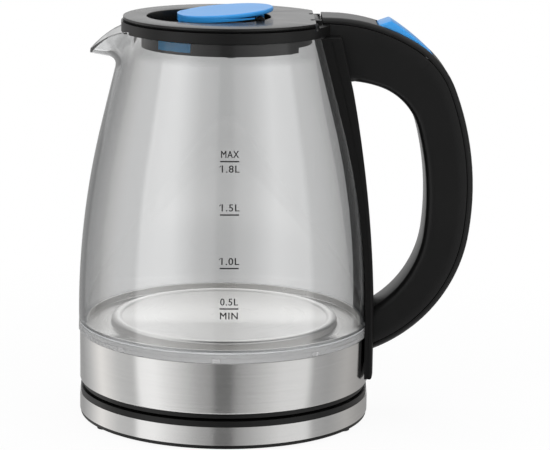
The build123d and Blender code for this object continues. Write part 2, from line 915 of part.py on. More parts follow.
def arc_run(x, z, heading, arcs, depth, first, last):
    """Arcs that turn clockwise from a point, moved in by depth, between two falls below level in degrees."""
    points = []
    fall = heading
    for radius, turn in arcs:
        angle = math.radians(fall)
        cx = x - radius * math.sin(angle)
        cz = z - radius * math.cos(angle)
        low = max(fall, first)
        high = min(fall + turn, last)
        if high > low:
            reach = radius - depth
            points.append([
                (cx + reach * math.sin(math.radians(a)), cz + reach * math.cos(math.radians(a)))
                for a in (low, (low + high) / 2, high)
            ])
        fall += turn
        angle = math.radians(fall)
        x = cx + radius * math.sin(angle)
        z = cz + radius * math.cos(angle)
    return points


def run_drop(arcs):
    """How far a run of arcs falls from its level start to its end."""
    drop = 0.0
    fall = 0.0
    for radius, turn in arcs:
        drop += radius * (math.cos(math.radians(fall)) - math.cos(math.radians(fall + turn)))
        fall += turn
    return drop


def stretched(arcs):
    return [(radius * grip_stretch, turn) for radius, turn in arcs]


grip_stretch = (handle_top - rim_top - heel_rise) / run_drop(grip_arcs)


def grip_run(depth, first=0.0, last=grip_turn):
    return arc_run(grip_start_x, handle_top, 0.0, stretched(grip_arcs), depth, first, last)


def grip_point(fall, depth):
    """The point of the handle's outer line that falls at an angle below level, moved in by depth."""
    if fall > 0:
        return grip_run(depth, 0.0, fall)[-1][2]
    return grip_run(depth)[0][0]


def inner_run():
    start_z = handle_top - inner_start_drop * grip_stretch
    last = inner_start_turn + sum(turn for radius, turn in inner_arcs)
    return arc_run(inner_start_x, start_z, inner_start_turn, stretched(inner_arcs), 0.0, 0.0, last), last


def arc_edges(run):
    return [ThreePointArc(*points) for points in run]


def grip_band(outer_depth, inner_depth, first, last):
    """The face between two lines that follow the handle's outer line."""
    outer = grip_run(outer_depth, first, last)
    inner = grip_run(inner_depth, first, last)
    ends = [Line(outer[-1][2], inner[-1][2]), Line(inner[0][0], outer[0][0])]
    return side_face(*arc_edges(outer), *arc_edges(inner), *ends)


def strip_solid(spare=0.0):
    """The flat-backed strip of the handle that lies along the glass, wider by spare on its free sides."""
    head = collar_low - strip_head_drop
    skin = strip_gap + ring_proud
    low_x = glass_r + skin + strip_low_t + spare
    neck_x = glass_radius(strip_neck) + strip_top_t + spare
    head_x = glass_radius(head) + strip_top_t + spare
    belly = glass_foot + glass_straight
    middle = ((low_x + neck_x) / 2 + (low_x - neck_x) * strip_bow, (belly + strip_neck) / 2)
    front = collar_bore_r / 2
    outline = [
        Line((low_x, strip_foot), (low_x, belly)),
        ThreePointArc((low_x, belly), middle, (neck_x, strip_neck)),
        Polyline((neck_x, strip_neck), (head_x, head), (front, head), (front, strip_foot), (low_x, strip_foot)),
    ]
    strip = slab(side_face(*outline), strip_w / 2 + spare)
    return strip - glass_solid(skin, strip_foot, head)


def jug_room():
    """The space of the glass, the bands and the collar, with a clearance, that the handle keeps out of."""
    room = glass_solid(strip_gap + ring_proud, 0, glass_rim)
    return room + disc(collar_r + fixed_gap, collar_low - fixed_gap, collar_top)


def lead_slot():
    """The way of the leads from the duct of the handle into the jug's steel band."""
    return slab(grip_band(back_depth, body_depth + lead_slot_depth, duct_end, grip_turn), lead_slot_half)


def make_handle_body():
    outer = grip_run(body_depth)
    inner, fall = inner_run()
    angle = math.radians(fall)
    inner_end = inner[-1][2]
    tucked = (inner_end[0] - tuck * abs(math.cos(angle)), inner_end[1] - tuck * abs(math.sin(angle)))
    top = handle_top - body_depth
    inner_start = inner[0][0]
    line = Polyline(
        inner_start, (handle_front, inner_start[1]), (handle_front, top), outer[0][0],
    )
    ends = [Line(outer[-1][2], tucked), Line(tucked, inner_end)]
    face = side_face(*arc_edges(outer), *arc_edges(inner), *ends, line)
    grip = slab(face, grip_w / 2)
    grip = fillet(grip_inner_edges(grip, inner), grip_round)
    body = grip + strip_solid()
    body -= slab(grip_band(back_depth, duct_floor, duct_start, duct_end), duct_half)
    body -= lead_slot()
    body -= jug_room()
    for y in (-handle_screw_y, handle_screw_y):
        x0 = band_r - handle_screw_l
        body -= rod_x(y, handle_screw_z, hole_r, x0, band_r + handle_screw_bite)
    return body


def grip_inner_edges(grip, inner):
    """The long edges of the grip on the side of the fingers."""
    places = [points[1] for points in inner]
    found = []
    for side in (-grip_w / 2, grip_w / 2):
        for x, z in places:
            found.append(min(grip.edges(), key=lambda edge: (edge @ 0.5 - Vector(x, side, z)).length))
    return found


def switch_pocket():
    first = switch_front - pocket_spare
    last = switch_rear + pocket_spare
    reach = 2 * back_depth
    corners = [
        grip_point(first, -reach), grip_point(last, -reach),
        grip_point(last, reach), grip_point(first, reach),
    ]
    return slab(side_polygon(corners), switch_half + free_gap)


def make_handle_back():
    face = grip_band(0.0, back_depth, 0.0, grip_turn)
    low = handle_top - back_depth
    lead_in = block(handle_front, grip_start_x, -grip_w / 2, grip_w / 2, low, handle_top)
    back = slab(face, grip_w / 2) + lead_in
    outer_edges = []
    for side in (-grip_w / 2, grip_w / 2):
        for points in grip_run(0.0):
            place = Vector(points[1][0], side, points[1][1])
            outer_edges.append(min(back.edges(), key=lambda edge: (edge @ 0.5 - place).length))
    back = fillet(outer_edges, back_round)
    back -= strip_solid(fixed_gap)
    back -= jug_room()
    back -= switch_pocket()
    x, z = grip_point(switch_axis, switch_axis_depth)
    end = switch_half + free_gap + switch_pin_bite
    return back - rod_y(x, z, switch_pin_r + pin_gap, -end, end)


def make_handle_screws():
    screws = []
    for y in (-handle_screw_y, handle_screw_y):
        seat = math.sqrt((band_r - band_t) ** 2 - (handle_screw_y + screw_head_r) ** 2)
        head = rod_x(y, handle_screw_z, screw_head_r, seat - screw_head_h, seat)
        screws.append(head + rod_x(y, handle_screw_z, screw_r, seat, band_r + handle_screw_bite))
    return together(screws)


# Switch and steam cut-out

def make_power_switch():
    front = grip_point(switch_front, 0.0)
    peak = grip_point(switch_peak, -switch_rise)
    middle = grip_point(switch_middle, -switch_middle_rise)
    rear = grip_point(switch_rear, 0.0)
    outline = [
        Line(front, peak),
        ThreePointArc(peak, middle, rear),
        Polyline(rear, grip_point(switch_rear, switch_depth), grip_point(switch_front, switch_depth), front),
    ]
    switch = slab(side_face(*outline), switch_half)
    x, z = grip_point(switch_axis, switch_axis_depth)
    return switch - rod_y(x, z, switch_pin_r + pin_gap, -far, far)


def make_switch_pin():
    x, z = grip_point(switch_axis, switch_axis_depth)
    end = switch_half + free_gap + switch_pin_bite
    return rod_y(x, z, switch_pin_r, -end, end)


def make_steam_switch():
    seat = duct_floor - cutout_seat
    middle = (cutout_front + cutout_rear) / 2
    corners = [
        grip_point(cutout_front, cutout_top), grip_point(cutout_rear, cutout_top),
        grip_point(cutout_rear, seat), grip_point(middle, seat), grip_point(cutout_front, seat),
    ]
    return slab(side_polygon(corners), cutout_half)


def make_steam_disc():
    x, z = grip_point((cutout_front + cutout_rear) / 2, (cutout_top + duct_floor) / 2)
    return rod_y(x, z, snap_disc_r, cutout_half, cutout_half + snap_disc_t)


def make_switch_leads():
    arcs = grip_run(lead_depth, lead_start, grip_turn)
    x, z = arcs[-1][2]
    angle = math.radians(grip_turn)
    x1 = x + lead_run * math.cos(angle)
    z1 = z - lead_run * math.sin(angle)
    bend = math.pi - angle
    x2 = x1 - lead_bend_r * math.sin(bend)
    z2 = z1 - lead_bend_r * (1 - math.cos(bend))
    half = bend / 2
    xm = x2 + lead_bend_r * math.sin(half)
    zm = z2 + lead_bend_r * (1 - math.cos(half))
    edges = arc_edges(arcs)
    edges += [Line((x, z), (x1, z1)), ThreePointArc((x1, z1), (xm, zm), (x2, z2))]
    edges.append(Line((x2, z2), (control_l / 2 + fixed_gap, z2)))
    path = Plane.XZ * Wire(edges)
    section = Plane(origin=path @ 0, z_dir=path % 0) * Circle(lead_r)
    lead = sweep(section, path=path)
    return together(Pos(0, y, 0) * lead for y in (-lead_y, lead_y))


nodes = {
    "base_shell": make_base_shell,
    "base_band": make_base_band,
    "base_cover": make_base_cover,
    "base_feet": make_base_feet,
    "base_screws": make_base_screws,
    "cord_gland": make_cord_gland,
    "base_connector": make_base_connector,
    "base_contacts": make_base_contacts,
    "connector_shutter": make_connector_shutter,
    "shutter_spring": make_shutter_spring,
    "jug_base_cover": make_jug_base_cover,
    "floor_studs": make_floor_studs,
    "jug_cover_screws": make_jug_cover_screws,
    "jug_band": make_jug_band,
    "light_ring": make_light_ring,
    "glass_gasket": make_glass_gasket,
    "heater_plate": make_heater_plate,
    "heater_seal": make_heater_seal,
    "heat_spreader": make_heat_spreader,
    "heating_element": make_heating_element,
    "jug_connector": make_jug_connector,
    "jug_contacts": make_jug_contacts,
    "dry_boil_discs": make_dry_boil_discs,
    "glass_body": make_glass_body,
    "rim_collar": make_rim_collar,
    "rim_gasket": make_rim_gasket,
    "lid_hinge_pin": make_lid_hinge_pin,
    "lid_cover": make_lid_cover,
    "lid_skirt": make_lid_skirt,
    "lid_underplate": make_lid_underplate,
    "lid_screws": make_lid_screws,
    "lid_tab": make_lid_tab,
    "tab_pin": make_tab_pin,
    "tab_spring": make_tab_spring,
    "latch_near": lambda: make_latch(-1),
    "latch_far": lambda: make_latch(1),
    "handle_body": make_handle_body,
    "handle_back": make_handle_back,
    "handle_screws": make_handle_screws,
    "power_switch": make_power_switch,
    "switch_pin": make_switch_pin,
    "steam_switch": make_steam_switch,
    "steam_disc": make_steam_disc,
    "switch_leads": make_switch_leads,
}

os.makedirs("parts", exist_ok=True)
for name, make in nodes.items():
    export_step(make(), f"parts/{name}.step")

print("lid hinge at x", round(hinge_x, 3), "z", round(hinge_z, 3))
print("tab axis at x", round(tab_axis_x, 3), "z", round(tab_axis_z, 3))
print("switch axis at", [round(v, 3) for v in grip_point(switch_axis, switch_axis_depth)])
print("handle stretch", round(grip_stretch, 4), "neck radius", round(neck_r, 3))
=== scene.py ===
import math

import bmesh
import bpy
from mathutils import Matrix, Vector


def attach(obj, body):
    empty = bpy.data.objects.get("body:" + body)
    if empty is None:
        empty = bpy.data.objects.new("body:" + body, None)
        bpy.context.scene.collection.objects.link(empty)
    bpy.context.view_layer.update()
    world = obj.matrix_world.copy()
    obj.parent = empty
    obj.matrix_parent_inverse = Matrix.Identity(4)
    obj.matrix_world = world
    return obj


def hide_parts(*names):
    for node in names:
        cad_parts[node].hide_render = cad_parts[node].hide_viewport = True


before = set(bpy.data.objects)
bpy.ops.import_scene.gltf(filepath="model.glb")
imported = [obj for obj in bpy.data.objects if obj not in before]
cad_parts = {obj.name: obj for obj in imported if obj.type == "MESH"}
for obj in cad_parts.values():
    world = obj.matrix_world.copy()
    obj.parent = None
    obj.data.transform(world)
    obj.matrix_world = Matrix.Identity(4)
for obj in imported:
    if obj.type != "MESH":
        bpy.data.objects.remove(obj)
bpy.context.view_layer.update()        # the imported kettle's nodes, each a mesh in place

mm = 0.001
fullTurn = 2 * math.pi
scene = bpy.context.scene
scene.view_settings.view_transform = "Standard"


# Camera, where the photograph was taken from
cameraLook = {
    "place": (-0.0019, -1.299, 0.381),
    "pan": 1.31,         # degrees towards the handle
    "pitch": 11.91,      # degrees downwards
    "roll": 0.78,
    "lens": 155.8,
}


def addCamera(look):
    data = bpy.data.cameras.new("photoCamera")
    data.lens = look["lens"]
    data.sensor_fit = "HORIZONTAL"
    data.sensor_width = 36.0
    camera = bpy.data.objects.new("photoCamera", data)
    scene.collection.objects.link(camera)
    pan = math.radians(look["pan"])
    pitch = math.radians(look["pitch"])
    roll = math.radians(look["roll"])
    ahead = Vector((math.sin(pan) * math.cos(pitch), math.cos(pan) * math.cos(pitch), -math.sin(pitch)))
    level = Vector((math.cos(pan), -math.sin(pan), 0.0))
    above = level.cross(ahead)
    right = level * math.cos(roll) + above * math.sin(roll)
    up = above * math.cos(roll) - level * math.sin(roll)
    turn = Matrix((right, up, -ahead)).transposed().to_4x4()
    camera.matrix_world = Matrix.Translation(look["place"]) @ turn
    scene.camera = camera


addCamera(cameraLook)
print("camera set")


# Shader sockets: expressions on them add the Math nodes
class Sock:
    def __init__(self, tree, out=None):
        self.tree = tree
        self.out = out

    def node(self, kind, settings, sockets, output=0):
        made = self.tree.nodes.new(kind)
        for key, value in settings.items():
            if key == "stops":
                setStops(made.color_ramp, value)
            else:
                setattr(made, key, value)
        for key, value in sockets.items():
            if isinstance(value, Sock):
                self.tree.links.new(value.out, made.inputs[key])
            else:
                made.inputs[key].default_value = value
        if not made.outputs:
            return None
        return Sock(self.tree, made.outputs[output])

    def sum(self, operation, first, second):
        return self.node("ShaderNodeMath", {"operation": operation}, {0: first, 1: second})

    def __add__(self, other):
        return self.sum("ADD", self, other)

    def __radd__(self, other):
        return self.sum("ADD", other, self)

    def __sub__(self, other):
        return self.sum("SUBTRACT", self, other)

    def __rsub__(self, other):
        return self.sum("SUBTRACT", other, self)

    def __mul__(self, other):
        return self.sum("MULTIPLY", self, other)

    def __truediv__(self, other):
        return self.sum("DIVIDE", self, other)

    def larger(self, other):
        return self.sum("MAXIMUM", self, other)

    def clamped(self):
        return self.node("ShaderNodeClamp", {}, {"Value": self})

    def mixed(self, first, second):
        return self.node("ShaderNodeMix", {"data_type": "RGBA"}, {0: self, 6: first, 7: second}, 2)


def setStops(ramp, stops):
    while len(ramp.elements) < len(stops):
        ramp.elements.new(1.0)
    for element, (place, colour) in zip(ramp.elements, stops):
        element.position = place
        element.color = colour


def grey(value):
    return (value, value, value, 1.0)


def newFinish(name):
    material = bpy.data.materials.new(name)
    material.use_nodes = True
    material.node_tree.nodes.clear()
    return material, Sock(material.node_tree)


def ray(s, kind):
    return s.node("ShaderNodeLightPath", {}, {}, kind)


def objectPlace(s):
    return s.node("ShaderNodeTexCoord", {}, {}, "Object")


def stretched(s, place, scale):
    return s.node("ShaderNodeMapping", {}, {"Vector": place, "Scale": scale})


def noise(s, place, scale, detail=2.0):
    return s.node("ShaderNodeTexNoise", {}, {"Vector": place, "Scale": scale, "Detail": detail})


def bumped(s, height, strength, depth):
    return s.node("ShaderNodeBump", {}, {"Strength": strength, "Distance": depth * mm, "Height": height})


def closeFinish(s, surface, **more):
    s.node("ShaderNodeOutputMaterial", {}, {"Surface": surface, **more})


def opaque(material, s, sockets):
    closeFinish(s, s.node("ShaderNodeBsdfPrincipled", {}, sockets))
    return material


# Moulded plastics and rubbers: a cloudy tone, a fine grain and an uneven sheen
def moulded(name, look):
    material, s = newFinish(name)
    place = objectPlace(s)
    cloud = noise(s, place, look["cloud"], 3.0)
    grain = noise(s, place, look["grain"], 2.0)
    tone = cloud.mixed(look["dark"], look["light"])
    sheen = look["rough"] + (cloud - 0.5) * look["uneven"] + (grain - 0.5) * 0.08
    return opaque(material, s, {
        "Base Color": tone,
        "Roughness": sheen,
        "Specular IOR Level": look["shine"],
        "Normal": bumped(s, grain, look["bite"], 0.15),
    })


# Plain metals: a mottled tone with fine scratches
def plainMetal(name, look):
    material, s = newFinish(name)
    place = objectPlace(s)
    cloud = noise(s, place, 90.0, 3.0)
    scratch = noise(s, stretched(s, place, (300.0, 300.0, 2600.0)), 1.0, 3.0)
    return opaque(material, s, {
        "Base Color": cloud.mixed(look["dark"], look["light"]),
        "Metallic": 1.0,
        "Roughness": look["rough"] + (scratch - 0.5) * 0.2,
        "Normal": bumped(s, scratch, 0.08, 0.05),
    })


# Brushed steel of the two bands: hair lines that run round the kettle
brushedLook = {
    "dark": (0.78, 0.775, 0.765, 1.0),
    "light": (0.94, 0.935, 0.925, 1.0),
    "rough": 0.19,
    "drawn": 0.9,
}


def brushedSteel(look):
    material, s = newFinish("brushedSteel")
    place = objectPlace(s)
    fineLine = noise(s, stretched(s, place, (26.0, 26.0, 4200.0)), 1.0, 3.0)
    broadLine = noise(s, stretched(s, place, (16.0, 16.0, 900.0)), 1.0, 2.0)
    lines = fineLine * 0.6 + broadLine * 0.4
    patch = noise(s, place, 30.0, 2.0)
    return opaque(material, s, {
        "Base Color": lines.mixed(look["dark"], look["light"]),
        "Metallic": 1.0,
        "Roughness": look["rough"] + (lines - 0.5) * 0.22 + (patch - 0.5) * 0.05,
        "Anisotropic": look["drawn"],
        "Anisotropic Rotation": 0.25,
        "Normal": bumped(s, fineLine, 0.06, 0.06),
    })


# Steel of the jug's floor: turned, so its lines are rings about the axis
floorLook = {
    "dark": (0.68, 0.67, 0.655, 1.0),
    "light": (0.88, 0.87, 0.85, 1.0),
    "rough": 0.30,
}


def spunSteel(look):
    material, s = newFinish("spunSteel")
    flat = stretched(s, objectPlace(s), (1.0, 1.0, 0.0))
    reach = s.node("ShaderNodeVectorMath", {"operation": "LENGTH"}, {0: flat}, 1)
    ringPlace = s.node("ShaderNodeCombineXYZ", {}, {"X": reach * 1500.0})
    rings = noise(s, ringPlace, 1.0, 3.0)
    stain = noise(s, objectPlace(s), 35.0, 4.0)
    return opaque(material, s, {
        "Base Color": (rings * 0.6 + stain * 0.4).mixed(look["dark"], look["light"]),
        "Metallic": 1.0,
        "Roughness": look["rough"] + (rings - 0.5) * 0.2 + (stain - 0.5) * 0.1,
        "Normal": bumped(s, rings, 0.08, 0.08),
    })


# Glass and clear plastic: light passes through them to what lies behind
def seeThrough(name, look):
    material, s = newFinish(name)
    ripple = noise(s, stretched(s, objectPlace(s), look["ripple"]), 1.0, 2.0)
    clear = s.node("ShaderNodeBsdfPrincipled", {}, {
        "Base Color": look["tint"],
        "Roughness": look["rough"],
        "IOR": look["bend"],
        "Transmission Weight": look["clear"],
        "Normal": bumped(s, ripple, look["wave"], 0.4),
    })
    through = s.node("ShaderNodeBsdfTransparent", {}, {"Color": grey(look["shadow"])})
    shadowRay = ray(s, "Is Shadow Ray")
    surface = s.node("ShaderNodeMixShader", {}, {0: shadowRay, 1: clear, 2: through})
    depth = s.node("ShaderNodeVolumeAbsorption", {}, {"Color": look["depthTint"], "Density": look["density"]})
    closeFinish(s, surface, Volume=depth)
    return material


# Print of the level marks
def printInk():
    material, s = newFinish("printInk")
    fleck = noise(s, objectPlace(s), 1800.0, 2.0)
    return opaque(material, s, {
        "Base Color": fleck.mixed(grey(0.004), grey(0.012)),
        "Roughness": 0.42 + fleck * 0.2,
    })


mouldedLooks = {
    "satinBlack": {"dark": grey(0.0036), "light": grey(0.0060), "rough": 0.34, "uneven": 0.06, "shine": 0.36,
                   "cloud": 22.0, "grain": 2600.0, "bite": 0.10},
    "stripBlack": {"dark": grey(0.0030), "light": grey(0.0050), "rough": 0.46, "uneven": 0.06, "shine": 0.22,
                   "cloud": 22.0, "grain": 2600.0, "bite": 0.10},
    "lidBlack": {"dark": grey(0.0045), "light": grey(0.0075), "rough": 0.25, "uneven": 0.05, "shine": 0.5,
                 "cloud": 22.0, "grain": 2600.0, "bite": 0.06},
    "brightBlue": {"dark": (0.022, 0.27, 0.68, 1.0), "light": (0.034, 0.31, 0.75, 1.0), "rough": 0.32,
                   "uneven": 0.05, "shine": 0.5, "cloud": 30.0, "grain": 2400.0, "bite": 0.06},
    # the latches' blue is painted lighter than the tab's blue, as painted light against the collar's shadow over them
    "latchBluePaintedLight": {"dark": (0.05, 0.46, 0.94, 1.0), "light": (0.07, 0.50, 0.98, 1.0), "rough": 0.8, "uneven": 0.05,
                  "shine": 0.04, "cloud": 30.0, "grain": 2400.0, "bite": 0.06},
    "controlGrey": {"dark": grey(0.05), "light": grey(0.085), "rough": 0.5, "uneven": 0.08, "shine": 0.4,
                    "cloud": 60.0, "grain": 1800.0, "bite": 0.16},
    "footRubber": {"dark": grey(0.010), "light": grey(0.022), "rough": 0.72, "uneven": 0.1, "shine": 0.3,
                   "cloud": 120.0, "grain": 1500.0, "bite": 0.25},
    "sealSilicone": {"dark": (0.42, 0.43, 0.44, 1.0), "light": (0.55, 0.56, 0.57, 1.0), "rough": 0.5,
                     "uneven": 0.1, "shine": 0.4, "cloud": 80.0, "grain": 1500.0, "bite": 0.12},
    "leadRed": {"dark": (0.32, 0.03, 0.022, 1.0), "light": (0.42, 0.045, 0.03, 1.0), "rough": 0.42, "uneven": 0.1,
                "shine": 0.45, "cloud": 150.0, "grain": 1500.0, "bite": 0.12},
}
metalLooks = {
    "contactBrass": {"dark": (0.50, 0.33, 0.12, 1.0), "light": (0.72, 0.52, 0.22, 1.0), "rough": 0.3},
    "castAluminium": {"dark": (0.55, 0.55, 0.56, 1.0), "light": (0.72, 0.72, 0.73, 1.0), "rough": 0.42},
    "zincSteel": {"dark": (0.48, 0.49, 0.50, 1.0), "light": (0.66, 0.67, 0.68, 1.0), "rough": 0.28},
}
clearLooks = {
    "jugGlass": {"tint": grey(1.0), "clear": 1.0, "rough": 0.0, "bend": 1.7, "wave": 0.012,
                 "ripple": (22.0, 22.0, 9.0), "shadow": 0.86, "depthTint": (0.64, 0.655, 0.66, 1.0),
                 "density": 90.0},
    "clearPlastic": {"tint": grey(0.92), "clear": 0.76, "rough": 0.1, "bend": 1.49, "wave": 0.05,
                     "ripple": (160.0, 160.0, 160.0), "shadow": 0.85, "depthTint": (0.94, 0.945, 0.945, 1.0),
                     "density": 60.0},
}

finishes = {name: moulded(name, look) for name, look in mouldedLooks.items()}
finishes.update({name: plainMetal(name, look) for name, look in metalLooks.items()})
finishes.update({name: seeThrough(name, look) for name, look in clearLooks.items()})
finishes["brushedSteel"] = brushedSteel(brushedLook)
finishes["spunSteel"] = spunSteel(floorLook)
finishes["printInk"] = printInk()
print("finishes made:", len(finishes))

# Finish of every node that keeps its solid
nodeFinishes = {
    "satinBlack": ["base_shell", "base_cover", "jug_base_cover", "rim_collar", "lid_skirt",
                   "lid_underplate", "handle_body", "handle_back"],
    "lidBlack": ["lid_cover"],
    "brightBlue": ["lid_tab", "power_switch"],
    # the latches take the blue that is painted lighter against the collar's shadow
    "latchBluePaintedLight": ["latch_near", "latch_far"],
    "brushedSteel": ["base_band", "jug_band"],
    "spunSteel": ["heater_plate"],
    "clearPlastic": ["light_ring"],
    "jugGlass": ["glass_body"],
    "footRubber": ["base_feet", "cord_gland"],
    "sealSilicone": ["glass_gasket", "heater_seal", "rim_gasket"],
    "contactBrass": ["base_contacts", "jug_contacts"],
    "castAluminium": ["heat_spreader", "heating_element"],
    "zincSteel": ["base_screws", "jug_cover_screws", "lid_screws", "handle_screws", "lid_hinge_pin", "tab_pin",
                  "switch_pin", "tab_spring", "shutter_spring", "floor_studs", "dry_boil_discs", "steam_disc"],
    "controlGrey": ["base_connector", "jug_connector", "connector_shutter", "steam_switch"],
    "leadRed": ["switch_leads"],
}
for finishName, nodeNames in nodeFinishes.items():
    for nodeName in nodeNames:
        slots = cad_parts[nodeName].data.materials
        slots.clear()
        slots.append(finishes[finishName])
print("solids dressed:", sum(len(names) for names in nodeFinishes.values()))


# Mesh helpers
ops = bmesh.ops


def moveBy(bm, verts, x, y, z):
    ops.translate(bm, verts=verts, vec=(x * mm, y * mm, z * mm))


def turnOut(bm):
    ops.recalc_face_normals(bm, faces=bm.faces)


def dropFaces(bm, isSpare):
    spare = [face for face in bm.faces if isSpare(face.calc_center_median() / mm)]
    ops.delete(bm, geom=spare, context="FACES")


def madeOf(made, kind=bmesh.types.BMVert):
    return [item for item in made["geom"] if isinstance(item, kind)]


def ringEdges(bm, radius, height, near=0.03):
    def onRing(vert):
        reach = math.hypot(vert.co.x, vert.co.y) / mm
        return abs(reach - radius) < near and abs(vert.co.z / mm - height) < near
    return [edge for edge in bm.edges if onRing(edge.verts[0]) and onRing(edge.verts[1])]


def roundEdges(bm, edges, width, segments=3):
    ops.bevel(bm, geom=edges, offset=width * mm, offset_type="OFFSET", segments=segments,
                    profile=0.5, affect="EDGES", material=-1, clamp_overlap=True)


def drawLine(bm, points, closed=False):
    row = [bm.verts.new((x * mm, 0.0, z * mm)) for x, z in points]
    for first, second in zip(row, row[1:]):
        bm.edges.new((first, second))
    if closed:
        bm.edges.new((row[-1], row[0]))
    return row


def swing(bm, vert, centre, degrees, steps):
    # carries the end of a line round a centre in the side plane, and gives the new points in order
    before = len(bm.verts)
    ops.spin(bm, geom=[vert], cent=(centre[0] * mm, 0.0, centre[1] * mm), axis=(0, 1, 0),
                   angle=math.radians(degrees), steps=steps)
    bm.verts.ensure_lookup_table()
    return list(bm.verts[before:])


def spinRound(bm, steps):
    ops.spin(bm, geom=list(bm.verts) + list(bm.edges), cent=(0, 0, 0), axis=(0, 0, 1),
                   angle=fullTurn, steps=steps, use_merge=True)
    ops.remove_doubles(bm, verts=bm.verts, dist=0.002 * mm)
    turnOut(bm)


def circleCentre(a, b, c):
    (ax, az), (bx, bz), (cx, cz) = a, b, c
    twice = 2 * (ax * (bz - cz) + bx * (cz - az) + cx * (az - bz))
    a2, b2, c2 = ax * ax + az * az, bx * bx + bz * bz, cx * cx + cz * cz
    x = (a2 * (bz - cz) + b2 * (cz - az) + c2 * (az - bz)) / twice
    z = (a2 * (cx - bx) + b2 * (ax - cx) + c2 * (bx - ax)) / twice
    return x, z


def addPiece(bm, piece):
    mesh = bpy.data.meshes.new(piece["name"])
    bm.to_mesh(mesh)
    bm.free()
    mesh.shade_smooth()
    mesh.set_sharp_from_angle(angle=math.radians(piece.get("sharp", 40)))
    obj = bpy.data.objects.new(piece["name"], mesh)
    scene.collection.objects.link(obj)
    mesh.materials.append(finishes[piece["finish"]])
    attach(obj, piece["body"])
    if piece.get("replaces"):
        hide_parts(*piece["replaces"])
    print("made", piece["name"], len(mesh.polygons), "faces")
    return obj


# Wall of the jug: straight at the foot, then a long arc, then a straight taper to the neck
wall = {
    "radius": 81.5, "foot": 54.5, "straightTop": 58.0, "arcRadius": 450.0, "taper": 13.6, "rim": 217.5,
    "steps": 288, "arcSteps": 26, "taperCuts": 44,
}
wall["arcX"] = wall["radius"] - wall["arcRadius"]
wall["arcTop"] = wall["straightTop"] + wall["arcRadius"] * math.sin(math.radians(wall["taper"]))
wall["arcTopRadius"] = wall["arcX"] + wall["arcRadius"] * math.cos(math.radians(wall["taper"]))


def wallRadius(z):
    if z <= wall["straightTop"]:
        return wall["radius"]
    if z <= wall["arcTop"]:
        return wall["arcX"] + math.sqrt(wall["arcRadius"] ** 2 - (z - wall["straightTop"]) ** 2)
    return wall["arcTopRadius"] - (z - wall["arcTop"]) * math.tan(math.radians(wall["taper"]))


# Spout: drawn out of the wall towards -X
spout = {
    "start": 180.0,        # height where the wall begins to change
    "bend": (60.05, 200.3),
    "bendEase": 5.0,
    "tip": (75.1, 202.9),
    "spread": 30.0,        # degrees to each side
    "lipFall": 2.0,        # how late the lip drops towards the tip
    "thickness": 3.0,
    "rimRound": 1.2,
}


def spoutLine(part):
    # the middle line of the spout's underside: down the wall, round the bend and out to the tip
    foot = Vector((wallRadius(spout["start"]), spout["start"]))
    bend = Vector(spout["bend"])
    tip = Vector(spout["tip"])
    rise = (bend - foot).length
    run = (tip - bend).length
    gone = part * (rise + run) - rise
    ease = spout["bendEase"]
    upWall = (bend - foot).normalized()
    outward = (tip - bend).normalized()
    if gone < -ease:
        return bend + upWall * gone
    if gone > ease:
        return bend + outward * gone
    s = (gone + ease) / (2 * ease)
    return (bend - upWall * ease) * (1 - s) ** 2 + bend * 2 * s * (1 - s) + (bend + outward * ease) * s * s


def drawSpout(bm):
    height = wall["rim"] - spout["start"]
    for vert in bm.verts:
        z = vert.co.z / mm
        if z < spout["start"]:
            continue
        turn = math.atan2(vert.co.y, -vert.co.x)
        side = abs(math.degrees(turn)) / spout["spread"]
        if side >= 1:
            continue
        pull = 0.5 * (1 + math.cos(math.pi * side))
        part = (z - spout["start"]) / height
        line = spoutLine(part)
        plain = wallRadius(z)
        reach = plain + (line[0] - plain) * pull
        level = z + (line[1] - z) * pull ** spout["lipFall"]
        vert.co = Vector((-reach * math.cos(turn), reach * math.sin(turn), level)) * mm


glassPiece = {"name": "jugGlass", "finish": "jugGlass", "body": "jug", "slot": "glass", "replaces": ["glass_body"],
              "sharp": 60}


def makeGlass():
    bm = bmesh.new()
    row = drawLine(bm, [(wall["radius"], wall["foot"]), (wall["radius"], wall["straightTop"])])
    arc = swing(bm, row[-1], (wall["arcX"], wall["straightTop"]), -wall["taper"], wall["arcSteps"])
    low = bm.verts.new((wallRadius(spout["start"]) * mm, 0.0, spout["start"] * mm))
    top = bm.verts.new((wallRadius(wall["rim"]) * mm, 0.0, wall["rim"] * mm))
    bm.edges.new((arc[-1], low))
    tapered = bm.edges.new((low, top))
    ops.subdivide_edges(bm, edges=[tapered], cuts=wall["taperCuts"])
    spinRound(bm, wall["steps"])
    drawSpout(bm)
    turnOut(bm)
    if sum(face.normal.dot(face.calc_center_median().xy.to_3d()) for face in bm.faces) < 0:
        ops.reverse_faces(bm, faces=bm.faces)
    obj = addPiece(bm, glassPiece)
    shell = obj.modifiers.new("wallThickness", "SOLIDIFY")
    shell.thickness = spout["thickness"] * mm
    shell.offset = -1.0
    shell.use_even_offset = True
    edge = obj.modifiers.new("fireRoundedEdges", "BEVEL")
    edge.width = spout["rimRound"] * mm
    edge.segments = 4
    edge.limit_method = "ANGLE"
    edge.angle_limit = math.radians(50)
    return obj


makeGlass()


# Level marks printed on the front of the glass
marks = {
    "name": "levelMarks", "finish": "printInk", "body": "jug", "slot": "black_plastic",
    "turn": 1.62,                    # degrees from the front towards the handle
    "lineWidth": 10.0, "lineHeight": 0.7, "lineParts": 14, "gap": 1.9, "lift": 0.05, "ink": 0.05,
    "cap": 3.7, "capShare": 0.7, "textWidth": 9.3, "spacing": 1.12, "bold": 0.08, "boldLift": 0.02,
    "flag": 0.75, "flagLap": 0.2, "stroke": 0.5,
    "levels": [(155.6, "MAX", "1.8L"), (128.1, "1.5L", None), (100.1, "1.0L", None), (78.6, "0.5L", "MIN")],
}


